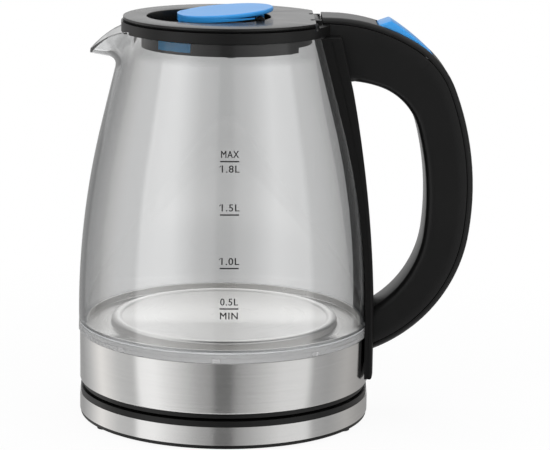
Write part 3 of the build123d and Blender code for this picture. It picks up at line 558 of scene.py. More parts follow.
def textMesh(words, size):
    curve = bpy.data.curves.new("markText", "FONT")
    curve.body = words
    curve.size = size * mm
    curve.align_x = "CENTER"
    curve.space_character = marks["spacing"]
    curve.extrude = marks["ink"] / 2 * mm
    curve.resolution_u = 4
    holder = bpy.data.objects.new("markText", curve)
    scene.collection.objects.link(holder)
    bpy.context.view_layer.update()
    mesh = bpy.data.meshes.new_from_object(holder.evaluated_get(bpy.context.evaluated_depsgraph_get()))
    bpy.data.objects.remove(holder)
    left = min(vert.co.x for vert in mesh.vertices)
    right = max(vert.co.x for vert in mesh.vertices)
    mesh.transform(Matrix.Scale(marks["textWidth"] * mm / (right - left), 4, (1, 0, 0)))
    return mesh


def addFlat(bm, mesh, height, bold=0.0):
    # lays a flat mesh into the marks at a height of the jug, twice side by side where it is bold
    for shift in {-bold, bold}:
        before = len(bm.verts)
        bm.from_mesh(mesh)
        bm.verts.ensure_lookup_table()
        lift = abs(shift + bold) * marks["boldLift"]
        moveBy(bm, bm.verts[before:], shift, height, lift)
    bpy.data.meshes.remove(mesh)


def inkMesh(bm, name, ink):
    # gives a flat drawing its thickness
    made = ops.extrude_face_region(bm, geom=bm.faces[:])
    moveBy(bm, madeOf(made), 0, 0, ink)
    turnOut(bm)
    mesh = bpy.data.meshes.new(name)
    bm.to_mesh(mesh)
    bm.free()
    return mesh


def lineMesh():
    bm = bmesh.new()
    ops.create_grid(bm, x_segments=marks["lineParts"], y_segments=1, size=0.5)
    ops.scale(bm, verts=bm.verts, vec=(marks["lineWidth"] * mm, marks["lineHeight"] * mm, 1.0))
    return inkMesh(bm, "markLine", marks["ink"])


def flagMesh():
    # the stroke at the head of a 1
    bm = bmesh.new()
    top, flag, wide = marks["cap"], marks["flag"], marks["stroke"]
    side = -marks["textWidth"] / 2
    joined = side + marks["flagLap"]
    corners = [(joined, top), (side - flag, top - flag), (side - flag, top - flag - wide), (joined, top - wide)]
    bm.faces.new([bm.verts.new((x * mm, z * mm, 0)) for x, z in reversed(corners)])
    return inkMesh(bm, "markFlag", marks["ink"] / 2)


def addWords(bm, words, size, height):
    addFlat(bm, textMesh(words, size), height, marks["bold"])
    if words.startswith("1"):
        addFlat(bm, flagMesh(), height)


def makeMarks():
    bm = bmesh.new()
    size = marks["cap"] / marks["capShare"]
    for height, above, below in marks["levels"]:
        addFlat(bm, lineMesh(), height)
        addWords(bm, above, size, height + marks["gap"])
        if below:
            addWords(bm, below, size, height - marks["gap"] - marks["cap"])
    for vert in bm.verts:
        along, height, out = vert.co / mm
        reach = wallRadius(height) + marks["lift"] + out
        turn = math.radians(marks["turn"]) + along / wallRadius(height)
        vert.co = Vector((reach * math.sin(turn), -reach * math.cos(turn), height)) * mm
    return addPiece(bm, marks)


makeMarks()


# Clear ring under the glass: prisms on its inner side in two rows, and small clips round its outer side
ringPiece = {
    "name": "clearRing", "finish": "clearPlastic", "body": "jug", "slot": "clear_plastic", "replaces": ["light_ring"],
    "low": 48.75, "high": 53.65, "outer": 81.45, "inner": 78.5, "prism": 0.38, "middle": 51.2, "groove": 0.3,
    "prisms": 150, "clips": 9, "clipTurn": 3.1, "clipWidth": 4.2, "clipHeight": 2.3, "clipRaise": 0.14,
    "clipLow": 0.3, "clipDepth": 0.5, "edge": 0.4, "sharp": 25,
}


def makeRing():
    p = ringPiece
    bm = bmesh.new()
    g = p["groove"]
    drawLine(bm, [
        (p["inner"], p["low"]), (p["outer"], p["low"]), (p["outer"], p["middle"] - g), (p["outer"] - g, p["middle"]),
        (p["outer"], p["middle"] + g), (p["outer"], p["high"]), (p["inner"], p["high"]),
        (p["inner"], p["middle"] + 0.05), (p["inner"], p["middle"] - 0.05),
    ], closed=True)
    spinRound(bm, 2 * p["prisms"])
    step = fullTurn / (2 * p["prisms"])
    for vert in bm.verts:
        reach = math.hypot(vert.co.x, vert.co.y)
        if reach > (p["inner"] + 0.2) * mm:
            continue
        column = round(math.atan2(vert.co.y, vert.co.x) / step)
        upperRow = vert.co.z > p["middle"] * mm
        if (column % 2 == 0) == upperRow:
            grown = (p["inner"] + p["prism"]) * mm / reach
            vert.co.x *= grown
            vert.co.y *= grown
    roundEdges(bm, ringEdges(bm, p["outer"], p["low"]) + ringEdges(bm, p["outer"], p["high"]), p["edge"], 2)
    for index in range(p["clips"]):
        turn = math.radians(p["clipTurn"] + 360 / p["clips"] * index)
        low = p["low"] + p["clipLow"]
        clip = ops.create_cube(bm, size=1.0)["verts"]
        ops.scale(bm, verts=clip, vec=(p["clipWidth"] * mm, p["clipDepth"] * mm, p["clipHeight"] * mm))
        reach = p["outer"] + p["clipRaise"] - p["clipDepth"] / 2
        moveBy(bm, clip, 0, -reach, low + p["clipHeight"] / 2)
        ops.rotate(bm, verts=clip, cent=(0, 0, 0), matrix=Matrix.Rotation(-turn, 3, "Z"))
    return addPiece(bm, p)


makeRing()


# Steel band of the jug: drawn sheet with turned-in edges
bandPiece = {
    "name": "jugBand", "finish": "brushedSteel", "body": "jug", "slot": "steel", "replaces": ["jug_band"],
    "outer": 80.9, "low": 20.6, "high": 48.7, "sheet": 0.8, "lowLip": 2.7, "topLip": 6.7, "edge": 0.7,
    "steps": 240,
}


def makeBand():
    p = bandPiece
    bm = bmesh.new()
    drawLine(bm, [
        (p["outer"] - p["lowLip"], p["low"]), (p["outer"], p["low"]), (p["outer"], p["high"]),
        (p["outer"] - p["topLip"], p["high"]), (p["outer"] - p["topLip"], p["high"] - p["sheet"]),
        (p["outer"] - p["sheet"], p["high"] - p["sheet"]), (p["outer"] - p["sheet"], p["low"] + p["sheet"]),
        (p["outer"] - p["lowLip"], p["low"] + p["sheet"]),
    ], closed=True)
    spinRound(bm, p["steps"])
    roundEdges(bm, ringEdges(bm, p["outer"], p["low"]) + ringEdges(bm, p["outer"], p["high"]), p["edge"], 4)
    return addPiece(bm, p)


makeBand()


# Floor of the jug: a raised plate with a pressed bead, and a moat round it
floorPiece = {
    "name": "jugFloor", "finish": "spunSteel", "body": "jug", "slot": "steel", "replaces": ["heater_plate"],
    "plate": 55.0, "beadIn": 57.2, "beadOut": 63.2, "beadTop": 56.2, "moat": 52.0, "edge": 77.1, "edgeTop": 55.5,
    "sheet": 0.8, "round": 0.9, "steps": 192,
}


def makeFloor():
    p = floorPiece
    bm = bmesh.new()
    middle = (p["beadIn"] + p["beadOut"]) / 2
    centre = circleCentre((p["beadIn"], p["plate"]), (middle, p["beadTop"]), (p["beadOut"], p["plate"]))
    start = bm.verts.new((0.0, 0.0, p["plate"] * mm))
    bead = bm.verts.new((p["beadIn"] * mm, 0.0, p["plate"] * mm))
    bm.edges.new((start, bead))
    half = math.degrees(math.atan2(middle - p["beadIn"], p["plate"] - centre[1]))
    arc = swing(bm, bead, centre, 2 * half, 12)
    rest = drawLine(bm, [
        (p["beadOut"], p["moat"]), (p["edge"] - p["sheet"], p["moat"]), (p["edge"] - p["sheet"], p["edgeTop"]),
        (p["edge"], p["edgeTop"]), (p["edge"], p["moat"] - p["sheet"]),
        (p["beadOut"] - p["sheet"], p["moat"] - p["sheet"]), (p["beadOut"] - p["sheet"], p["plate"] - p["sheet"]),
        (0.0, p["plate"] - p["sheet"]),
    ])
    bm.edges.new((arc[-1], rest[0]))
    spinRound(bm, p["steps"])
    rounded = ringEdges(bm, p["beadOut"], p["moat"]) + ringEdges(bm, p["edge"] - p["sheet"], p["moat"])
    rounded += ringEdges(bm, p["beadOut"], p["plate"], 0.08)
    roundEdges(bm, rounded, p["round"], 4)
    return addPiece(bm, p)


makeFloor()


# Lid: a shallow cap with a round finger well, and the barrel of its hinge
lidPiece = {
    "name": "lidCap", "finish": "lidBlack", "body": "lid", "slot": "black_plastic", "replaces": ["lid_cover"],
    "radius": 56.89, "under": 221.5, "top": 223.7, "back": 47.79,
    "wellX": -10.0, "wellRadius": 33.99, "wellFloor": 215.9, "shell": 1.2,
    "notchX": 45.39, "notchHalf": 15.8, "webHalf": 11.7,
    "hingeX": 48.594, "hingeZ": 220.9, "barrel": 2.8,
    "postX": 17.994, "postZ": 222.8, "postRadius": 2.6, "postY": 13.5, "postWidth": 3.0,
    "legFront": -28.9, "legRear": -21.1, "legHalf": 9.1,
    "topRound": 0.7, "wellRound": 0.8, "floorRound": 1.6, "steps": 240,
}


def cutAlong(bm, place, normal):
    ops.bisect_plane(bm, geom=bm.verts[:] + bm.edges[:] + bm.faces[:], plane_co=place, plane_no=normal)


def makeLid():
    p = lidPiece
    bm = bmesh.new()
    ops.create_circle(bm, segments=p["steps"], radius=p["radius"] * mm)
    well = ops.create_circle(bm, segments=p["steps"], radius=p["wellRadius"] * mm)["verts"]
    moveBy(bm, well, p["wellX"], 0, 0)
    ops.bridge_loops(bm, edges=bm.edges[:])
    for x in (p["back"], p["notchX"]):
        cutAlong(bm, (x * mm, 0, 0), (1, 0, 0))
    for y in (-p["notchHalf"], -p["webHalf"], p["webHalf"], p["notchHalf"]):
        cutAlong(bm, (0, y * mm, 0), (0, 1, 0))

    def behind(at):
        return at.x > p["back"] or at.x > p["notchX"] and p["webHalf"] < abs(at.y) < p["notchHalf"]

    dropFaces(bm, behind)
    moveBy(bm, bm.verts, 0, 0, p["top"])
    border = [edge for edge in bm.edges if edge.is_boundary]

    def onWell(edge):
        return all(abs(math.hypot(v.co.x - p["wellX"] * mm, v.co.y) - p["wellRadius"] * mm) < 0.05 * mm
                   for v in edge.verts)

    wellTop = [edge for edge in border if onWell(edge)]
    rimTop = [edge for edge in border if not onWell(edge)]
    sunk = ops.extrude_edge_only(bm, edges=wellTop)
    moveBy(bm, madeOf(sunk), 0, 0, p["wellFloor"] - p["top"])
    lowered = ops.extrude_edge_only(bm, edges=rimTop)
    moveBy(bm, madeOf(lowered), 0, 0, p["under"] - p["top"])
    floorEdges = [edge for edge in madeOf(sunk, bmesh.types.BMEdge) if edge.is_boundary]
    ops.edgeloop_fill(bm, edges=floorEdges)
    turnOut(bm)
    if sum(face.normal.z * face.calc_area() for face in bm.faces) < 0:
        ops.reverse_faces(bm, faces=bm.faces)
    roundEdges(bm, floorEdges, p["floorRound"], 4)
    roundEdges(bm, [edge for edge in wellTop if edge.is_valid], p["wellRound"], 3)
    roundEdges(bm, [edge for edge in rimTop if edge.is_valid], p["topRound"], 3)
    floorFace = max(bm.faces, key=lambda face: face.calc_area() if face.normal.z > 0.99 else 0)
    cutOut = [floorFace] + list(floorFace.edges) + list(floorFace.verts)
    for place, normal in (((p["legFront"] * mm, 0, 0), (1, 0, 0)), ((p["legRear"] * mm, 0, 0), (1, 0, 0)),
                          ((0, -p["legHalf"] * mm, 0), (0, 1, 0)), ((0, p["legHalf"] * mm, 0), (0, 1, 0))):
        cutOut = ops.bisect_plane(bm, geom=cutOut, plane_co=place, plane_no=normal)["geom"]

    def inSlot(at):
        onFloor = abs(at.z - p["wellFloor"]) < 0.1
        return onFloor and p["legFront"] < at.x < p["legRear"] and abs(at.y) < p["legHalf"]

    dropFaces(bm, inSlot)
    cap = addPiece(bm, p)
    shell = cap.modifiers.new("shell", "SOLIDIFY")
    shell.thickness = p["shell"] * mm
    shell.offset = -1.0
    return cap


makeLid()

# Hinge barrel of the lid and the two posts that hold the tab's pin
hingePiece = {"name": "lidHinge", "finish": "satinBlack", "body": "lid", "slot": "black_plastic",
              "webLow": 0.1, "webHigh": 0.05, "postSink": 0.6, "round": 0.3}


def addBarrel(bm, x, z, radius, half, y=0.0):
    made = ops.create_cone(bm, cap_ends=True, segments=40, radius1=radius * mm, radius2=radius * mm,
                                 depth=2 * half * mm)["verts"]
    ops.rotate(bm, verts=made, cent=(0, 0, 0), matrix=Matrix.Rotation(math.pi / 2, 3, "X"))
    moveBy(bm, made, x, y, z)
    return made


def addBlock(bm, low, high):
    made = ops.create_cube(bm, size=1.0)["verts"]
    size = [(b - a) * mm for a, b in zip(low, high)]
    ops.scale(bm, verts=made, vec=size)
    moveBy(bm, made, *[(a + b) / 2 for a, b in zip(low, high)])
    return made


def makeHinge():
    p = lidPiece
    h = hingePiece
    bm = bmesh.new()
    addBarrel(bm, p["hingeX"], p["hingeZ"], p["barrel"], p["webHalf"])
    addBlock(bm, (p["notchX"], -p["webHalf"], p["under"] + h["webLow"]),
             (p["hingeX"], p["webHalf"], p["top"] - h["webHigh"]))
    for side in (-1, 1):
        y = side * p["postY"]
        addBarrel(bm, p["postX"], p["postZ"], p["postRadius"], p["postWidth"] / 2, y)
        addBlock(bm, (p["postX"] - p["postRadius"], y - p["postWidth"] / 2, p["wellFloor"] - h["postSink"]),
                 (p["postX"] + p["postRadius"], y + p["postWidth"] / 2, p["postZ"]))
    corners = [edge for edge in bm.edges if edge.calc_face_angle(0) > 1.2]
    roundEdges(bm, corners, h["round"], 2)
    return addPiece(bm, h)


makeHinge()

# Rim under the blue tab, in front of its pin
tabRim = {"name": "tabRim", "finish": "brightBlue", "body": "tab", "slot": "blue_plastic",
          "middle": -1.0, "outer": 26.3, "inner": 24.6, "low": 221.4, "high": 225.3, "rear": 16.0,
          "round": 0.5, "rise": 3.3, "steps": 160}


def makeTabRim():
    p = tabRim
    bm = bmesh.new()
    drawLine(bm, [(p["inner"], p["low"]), (p["outer"], p["low"]), (p["outer"], p["high"]), (p["inner"], p["high"])],
             closed=True)
    spinRound(bm, p["steps"])
    roundEdges(bm, ringEdges(bm, p["outer"], p["low"]), p["round"], 3)
    cutAlong(bm, (p["rear"] * mm, 0, 0), (1, 0, 0))
    dropFaces(bm, lambda at: at.x > p["rear"])
    ops.holes_fill(bm, edges=[edge for edge in bm.edges if edge.is_boundary])
    turnOut(bm)
    for vert in bm.verts:
        part = (vert.co.x / mm + p["outer"]) / (p["rear"] + p["outer"])
        low = (p["high"] * mm - vert.co.z) / ((p["high"] - p["low"]) * mm)
        vert.co.z += p["rise"] * part * low * mm
    moveBy(bm, bm.verts, p["middle"], 0, 0)
    return addPiece(bm, p)


makeTabRim()


# Handle: an outer line and an inner line, each a run of arcs of a radius, a turn and a count of steps
grip = {
    "startX": 55.5, "startZ": 225.0, "front": 51.8, "half": 15.0,
    "outerArcs": [(92.53, 33.0, 14), (50.78, 35.4, 14), (156.59, 30.4, 14), (83.70, 63.6, 22)],
    "innerX": 70.0, "innerZ": 189.9, "innerTurn": 5.3,
    "innerArcs": [(61.29, 13.5, 8), (33.32, 56.1, 22), (155.1, 21.6, 12), (58.0, 53.9, 22)],
    "backDepth": 3.2, "seam": 0.25, "coverFrom": 47, "coverSteps": 52,
    "innerRound": 11.0, "backRound": 2.6, "seamRound": 0.5,
    "gap": 0.5,            # clear of the glass
    "collarRadius": 58.1, "collarLow": 215.3, "collarTop": 221.35,
}
grip["lastFall"] = sum(turn for radius, turn, steps in grip["outerArcs"])
switchPiece = {
    "name": "powerSwitch", "finish": "brightBlue", "body": "switch", "slot": "blue_plastic",
    "replaces": ["power_switch"],
    "front": 17.2, "peak": 20.4, "middle": 32.0, "rear": 43.0, "rise": 4.3, "middleRise": 1.0, "depth": 3.8,
    "half": 11.0, "round": 0.8, "pocketSpare": 0.6, "pocketGap": 0.4, "pocketDepth": 9.0,
}
switchPiece["pocketFront"] = switchPiece["front"] - switchPiece["pocketSpare"]
switchPiece["pocketRear"] = switchPiece["rear"] + switchPiece["pocketSpare"]
switchPiece["pocketHalf"] = switchPiece["half"] + switchPiece["pocketGap"]


def arcRow(bm, start, heading, arcs, depth=0.0):
    # a run of arcs that starts at a heading below level and turns down, moved in by depth
    angle = math.radians(heading)
    x, z = start
    first = bm.verts.new(((x - depth * math.sin(angle)) * mm, 0.0, (z - depth * math.cos(angle)) * mm))
    row = [first]
    for radius, turn, steps in arcs:
        angle = math.radians(heading)
        tip = row[-1].co / mm
        centre = (tip.x - (radius - depth) * math.sin(angle), tip.z - (radius - depth) * math.cos(angle))
        row += swing(bm, row[-1], centre, turn, steps)
        heading += turn
    return row


def gripPoint(fall, depth):
    # point of the handle's outer line that falls at an angle below level, moved in by depth
    x, z, heading = grip["startX"], grip["startZ"], 0.0
    for radius, turn, steps in grip["outerArcs"]:
        angle = math.radians(heading)
        centreX = x - radius * math.sin(angle)
        centreZ = z - radius * math.cos(angle)
        last = math.radians(min(fall, heading + turn))
        x = centreX + radius * math.sin(last)
        z = centreZ + radius * math.cos(last)
        heading += turn
        if fall <= heading:
            break
    angle = math.radians(fall)
    return x - depth * math.sin(angle), z - depth * math.cos(angle)


def lead(bm, row, points):
    # puts more points in front of a row
    made = [bm.verts.new((x * mm, 0.0, z * mm)) for x, z in points]
    full = made + row
    for first, second in zip(full, full[1:len(made) + 1]):
        bm.edges.new((first, second))
    return full


def thicken(bm, half):
    # gives a flat side view its width
    turnOut(bm)
    flat = bm.faces[:]
    moveBy(bm, bm.verts, 0, -half, 0)
    made = ops.extrude_face_region(bm, geom=flat)
    moveBy(bm, madeOf(made), 0, 2 * half, 0)
    turnOut(bm)


def keepClear(bm, gap):
    # pushes what would lie inside the glass or the collar out to their surface
    for vert in bm.verts:
        x, y, z = vert.co / mm
        room = wallRadius(z) + gap
        if grip["collarLow"] < z < grip["collarTop"]:
            room = max(room, grip["collarRadius"])
        if z < grip["collarTop"] and x > 0 and math.hypot(x, y) < room:
            vert.co.x = math.sqrt(room * room - y * y) * mm


def longEdges(bm, row):
    # edges on both sides of the handle that follow a row of its side view
    places = {(round(x, 3), round(z, 3)) for x, z in row}

    def onRow(vert):
        return (round(vert.co.x / mm, 3), round(vert.co.z / mm, 3)) in places
    return [edge for edge in bm.edges if onRow(edge.verts[0]) and onRow(edge.verts[1])
            and abs(edge.verts[0].co.y - edge.verts[1].co.y) < 1e-6]


gripPiece = {"name": "handleGrip", "finish": "satinBlack", "body": "jug", "slot": "black_plastic",
             "replaces": ["handle_body"]}
backPiece = {"name": "handleBack", "finish": "satinBlack", "body": "jug", "slot": "black_plastic",
             "replaces": ["handle_back"]}


def sinkPocket(bm):
    # room in the grip for the switch and its travel
    w = switchPiece
    first, last, inside = w["pocketFront"], w["pocketRear"], w["pocketHalf"]
    for y in (-inside, inside):
        cutAlong(bm, (0, y * mm, 0), (0, 1, 0))
    ends = []
    for fall in (first, last):
        x, z = gripPoint(fall, 0.0)
        angle = math.radians(fall)
        ends.append((Vector((x * mm, 0, z * mm)), Vector((math.cos(angle), 0, -math.sin(angle)))))
        cutAlong(bm, *ends[-1])
    (near, nearWay), (far, farWay) = ends
    middle = math.radians((first + last) / 2)
    out = Vector((math.sin(middle), 0, math.cos(middle)))
    top = []
    for face in bm.faces:
        place = face.calc_center_median()
        between = (place - near).dot(nearWay) > 0 and (place - far).dot(farWay) < 0
        if between and abs(place.y) < inside * mm and face.normal.dot(out) > 0.8 and place.z > far.z - 0.01:
            top.append(face)
    made = ops.extrude_face_region(bm, geom=top)
    moveBy(bm, madeOf(made), *(out * -w["pocketDepth"]))
    turnOut(bm)


def makeGrip():
    g = grip
    bm = bmesh.new()
    depth = g["backDepth"] + g["seam"]
    outer = arcRow(bm, (g["startX"], g["startZ"]), 0.0, g["outerArcs"], depth)
    inner = arcRow(bm, (g["innerX"], g["innerZ"]), g["innerTurn"], g["innerArcs"])
    outer = lead(bm, outer, [(g["front"], g["startZ"] - depth)])
    inner = lead(bm, inner, [(g["front"], g["innerZ"])])
    bridged = ops.bridge_loops(bm, edges=bm.edges[:])
    outerRow = [(vert.co.x / mm, vert.co.z / mm) for vert in outer]
    innerRow = [(vert.co.x / mm, vert.co.z / mm) for vert in inner]
    ops.subdivide_edges(bm, edges=bridged["edges"], cuts=3)
    thicken(bm, g["half"])
    palm = longEdges(bm, innerRow[1:])
    seam = longEdges(bm, outerRow[1:])
    roundEdges(bm, palm, g["innerRound"], 6)
    roundEdges(bm, [edge for edge in seam if edge.is_valid], g["seamRound"], 2)
    sinkPocket(bm)
    keepClear(bm, g["gap"])
    return addPiece(bm, gripPiece)


makeGrip()
tonguePiece = {"name": "handleTongue", "finish": "satinBlack", "body": "jug", "slot": "black_plastic",
               "depth": 1.5, "inset": 1.4, "behind": 3, "short": 2, "steps": 50}


def makeTongue():
    # closes the seam between grip and back from inside, behind the switch
    g = grip
    t = tonguePiece
    bm = bmesh.new()
    start = switchPiece["rear"] + t["behind"]
    length = g["lastFall"] - t["short"] - start
    falls = [start + length * i / t["steps"] for i in range(t["steps"] + 1)]
    for depth in (g["backDepth"] - t["depth"], g["backDepth"] + t["depth"]):
        drawLine(bm, [gripPoint(fall, depth) for fall in falls])
    ops.bridge_loops(bm, edges=bm.edges[:])
    thicken(bm, g["half"] - t["inset"])
    return addPiece(bm, t)


makeTongue()


def makeBack():
    # two cheeks run past the switch, and the cover is whole in front of it and behind it
    g = grip
    w = switchPiece
    bm = bmesh.new()
    first, last, inside = w["pocketFront"], w["pocketRear"], w["pocketHalf"]
    whole, steps = g["coverFrom"], g["coverSteps"]
    falls = [0, 4, 7, 10, 13, first, 20, 24, 28, 32, 36, 40, last, whole]
    falls += [whole + (g["lastFall"] - whole) * i / steps for i in range(1, steps + 1)]
    top = drawLine(bm, [(g["front"], g["startZ"])] + [gripPoint(f, 0.0) for f in falls])
    low = drawLine(bm, [(g["front"], g["startZ"] - g["backDepth"])] + [gripPoint(f, g["backDepth"]) for f in falls])
    topRow = [(vert.co.x / mm, vert.co.z / mm) for vert in top]
    lowRow = [(vert.co.x / mm, vert.co.z / mm) for vert in low]
    ops.bridge_loops(bm, edges=bm.edges[:])
    thicken(bm, g["half"])
    for y in (-inside, inside):
        cutAlong(bm, (0, y * mm, 0), (0, 1, 0))
    rear = gripPoint(last, 0.0)
    front = gripPoint(first, g["backDepth"])
    dropFaces(bm, lambda at: abs(at.y) < inside and front[0] < at.x < rear[0] and at.z > rear[1] - 4)
    border = [edge for edge in bm.edges if edge.is_boundary]
    ops.bridge_loops(bm, edges=border)
    turnOut(bm)
    for row, width, segments in ((topRow, g["backRound"], 6), (lowRow, g["seamRound"], 2)):
        outside = [edge for edge in longEdges(bm, row) if abs(abs(edge.verts[0].co.y) - g["half"] * mm) < 1e-6]
        roundEdges(bm, outside, width, segments)
    return addPiece(bm, backPiece)


makeBack()


def makeSwitch():
    w = switchPiece
    bm = bmesh.new()
    front = gripPoint(w["front"], 0.0)
    peak = gripPoint(w["peak"], -w["rise"])
    middle = gripPoint(w["middle"], -w["middleRise"])
    rear = gripPoint(w["rear"], 0.0)
    centre = circleCentre(peak, middle, rear)
    upper = drawLine(bm, [front, peak])
    start = math.atan2(peak[0] - centre[0], peak[1] - centre[1])
    end = math.atan2(rear[0] - centre[0], rear[1] - centre[1])
    upper += swing(bm, upper[-1], centre, math.degrees(end - start), 12)
    count = len(upper)
    falls = [w["front"] + (w["rear"] - w["front"]) * i / (count - 1) for i in range(count)]
    drawLine(bm, [gripPoint(fall, w["depth"]) for fall in falls])
    ops.bridge_loops(bm, edges=bm.edges[:])
    thicken(bm, w["half"])
    corners = [edge for edge in bm.edges if edge.calc_face_angle(0) > 0.6]
    roundEdges(bm, corners, w["round"], 4)
    return addPiece(bm, switchPiece)


makeSwitch()


# Strip of the handle that lies along the glass: a flat back, hollowed to the glass, in two layers with a seam
strip = {
    "name": "handleStrip", "finish": "stripBlack", "body": "jug", "slot": "black_plastic",
    "half": 26.0, "foot": 25.3, "head": 215.1, "low": 83.7, "neckZ": 187.0, "top": 5.4, "bow": 0.2, "gap": 0.45,
    "layers": 0.5, "groove": 0.4, "round": 1.5, "crown": 1.9, "seam": 0.04, "across": 20, "along": 72,
}


def stripBack(z):
    # how far out the flat back of the strip lies at a height
    neck = wallRadius(strip["neckZ"]) + strip["top"]
    belly = wall["straightTop"]
    if z <= belly:
        return strip["low"]
    if z >= strip["neckZ"]:
        part = (z - strip["neckZ"]) / (strip["head"] - strip["neckZ"])
        return neck + (wallRadius(strip["head"]) + strip["top"] - neck) * part
    lean = strip["low"] - neck
    middle = ((strip["low"] + neck) / 2 + lean * strip["bow"], (belly + strip["neckZ"]) / 2)
    x, height = circleCentre((strip["low"], belly), middle, (neck, strip["neckZ"]))
    radius = math.hypot(strip["low"] - x, belly - height)
    return x + math.sqrt(radius * radius - (z - height) ** 2)


def stripSide(y, z):
    # the back is crowned below the neck, so that its sides lie nearer the glass
    low = min(1.0, max(0.0, (strip["neckZ"] - z) / (strip["neckZ"] - wall["straightTop"])))
    return stripBack(z) - strip["crown"] * low * (y / strip["half"]) ** 2


def layStrip(verts, depth):
    # lays a layer of the strip at a part of its depth, from 0 at its back to 1 at the glass
    for vert in verts:
        z = vert.co.z / mm
        y = vert.co.y / mm
        outside = stripSide(y, z)
        room = wallRadius(z) + strip["gap"]
        inside = math.sqrt(room * room - y * y)
        vert.co.x = (outside + (inside - outside) * depth) * mm


def makeStrip():
    p = strip
    bm = bmesh.new()
    ops.create_grid(bm, x_segments=p["across"], y_segments=p["along"], size=0.5)
    ops.scale(bm, verts=bm.verts, vec=(2 * p["half"] * mm, (p["head"] - p["foot"]) * mm, 1.0))
    ops.rotate(bm, verts=bm.verts, cent=(0, 0, 0), matrix=Matrix.Rotation(math.pi / 2, 3, "X"))
    ops.rotate(bm, verts=bm.verts, cent=(0, 0, 0), matrix=Matrix.Rotation(math.pi / 2, 3, "Z"))
    moveBy(bm, bm.verts, 0, 0, (p["head"] + p["foot"]) / 2)
    layStrip(bm.verts, 0.0)
    faces = bm.faces[:]
    inset = 1 - p["groove"] / p["half"]
    above, below = p["layers"] - p["seam"], p["layers"] + p["seam"]
    stages = [(above, 1.0), (above, inset), (below, inset), (below, 1.0), (1.0, 1.0)]
    width = 1.0
    for depth, wide in stages:
        made = ops.extrude_face_region(bm, geom=faces, use_keep_orig=width == 1.0 and depth < p["layers"])
        faces = madeOf(made, bmesh.types.BMFace)
        verts = madeOf(made)
        ops.scale(bm, verts=verts, vec=(1.0, wide / width, 1.0))
        width = wide
        layStrip(verts, depth)
    turnOut(bm)
    corners = []
    for edge in bm.edges:
        outer = all(abs(v.co.x / mm - stripSide(v.co.y / mm, v.co.z / mm)) < 0.01 for v in edge.verts)
        if outer and edge.calc_face_angle(0) > 0.7:
            corners.append(edge)
    roundEdges(bm, corners, p["round"], 4)
    return addPiece(bm, p)


makeStrip()


# Studio: a white surround, a pale floor that keeps the shadow, soft lamps and grey walls seen in the steel
studio = {
    "floorSize": 9.0, "floorPale": 0.86, "floorGlow": 0.93, "fadeFrom": 0.16, "fadeTo": 0.4,
    "surround": 0.5, "glassSheen": 4.0, "behindGlow": 2.2, "upperGlow": 2.4,
    "upperEase": 0.05, "rearFrom": 1.6, "rearEase": 0.2, "neckFrom": 0.203, "neckEase": 0.004, "sideEase": 0.9,
    "wallRadius": 2.2, "wallLow": -2.4, "wallHigh": 1.7, "aim": (0, 0, 0.11),
}
# what the polished metal sees round the room: degrees from the front towards the handle, and a tone
roomTones = [
    (-180, 0.9, 1.0), (-170, 0.9, 1.0), (-165, 0.35, 1.0), (-148, 0.35, 1.0), (-132, 0.5, 1.0),
    (-112, 0.87, 0.96), (-90, 0.55, 1.0), (-74, 0.5, 1.0), (-69, 0.95, 1.0), (-55, 0.95, 1.0), (-20, 0.4, 1.0),
    (-9, 0.3, 1.0), (-6, 0.15, 1.0), (5, 0.15, 1.0), (10, 0.3, 1.0), (45, 0.7, 1.0), (68, 0.75, 1.0),
    (74, 0.4, 1.0), (90, 0.35, 1.0), (112, 0.45, 0.96), (135, 0.35, 0.96), (165, 0.3, 1.0), (170, 0.9, 1.0),
    (180, 0.9, 1.0),
]
# what the glass shows of the room behind it, in the same way
throughTones = [
    (-180, 0.24, 1.0), (-178.6, 0.26, 1.0), (-177.2, 0.34, 1.0), (-176, 0.3, 1.0), (-172, 0.24, 1.0),
    (-162, 0.15, 1.0), (-146, 0.08, 1.0), (-100, 0.06, 1.0), (-78, 0.08, 1.0), (78, 0.08, 1.0), (100, 0.06, 1.0),
    (146, 0.08, 1.0), (162, 0.15, 1.0), (172, 0.24, 1.0), (176, 0.29, 1.0), (177.2, 0.33, 1.0),
    (178.6, 0.26, 1.0), (180, 0.24, 1.0),
]


def shownRays(s):
    return ray(s, "Is Camera Ray").larger(ray(s, "Is Glossy Ray")).larger(ray(s, "Is Transmission Ray"))


def makeSurround():
    world = bpy.data.worlds.new("whiteSurround")
    scene.world = world
    world.use_nodes = True
    world.node_tree.nodes.clear()
    s = Sock(world.node_tree)
    strength = studio["surround"] + shownRays(s) * (1 - studio["surround"])
    light = s.node("ShaderNodeBackground", {}, {"Color": grey(1.0), "Strength": strength})
    s.node("ShaderNodeOutputWorld", {}, {"Surface": light})
    world.cycles.sampling_method = "NONE"


def stageObject(name, bm, material):
    mesh = bpy.data.meshes.new(name)
    bm.to_mesh(mesh)
    bm.free()
    obj = bpy.data.objects.new(name, mesh)
    scene.collection.objects.link(obj)
    mesh.materials.append(material)
    return obj


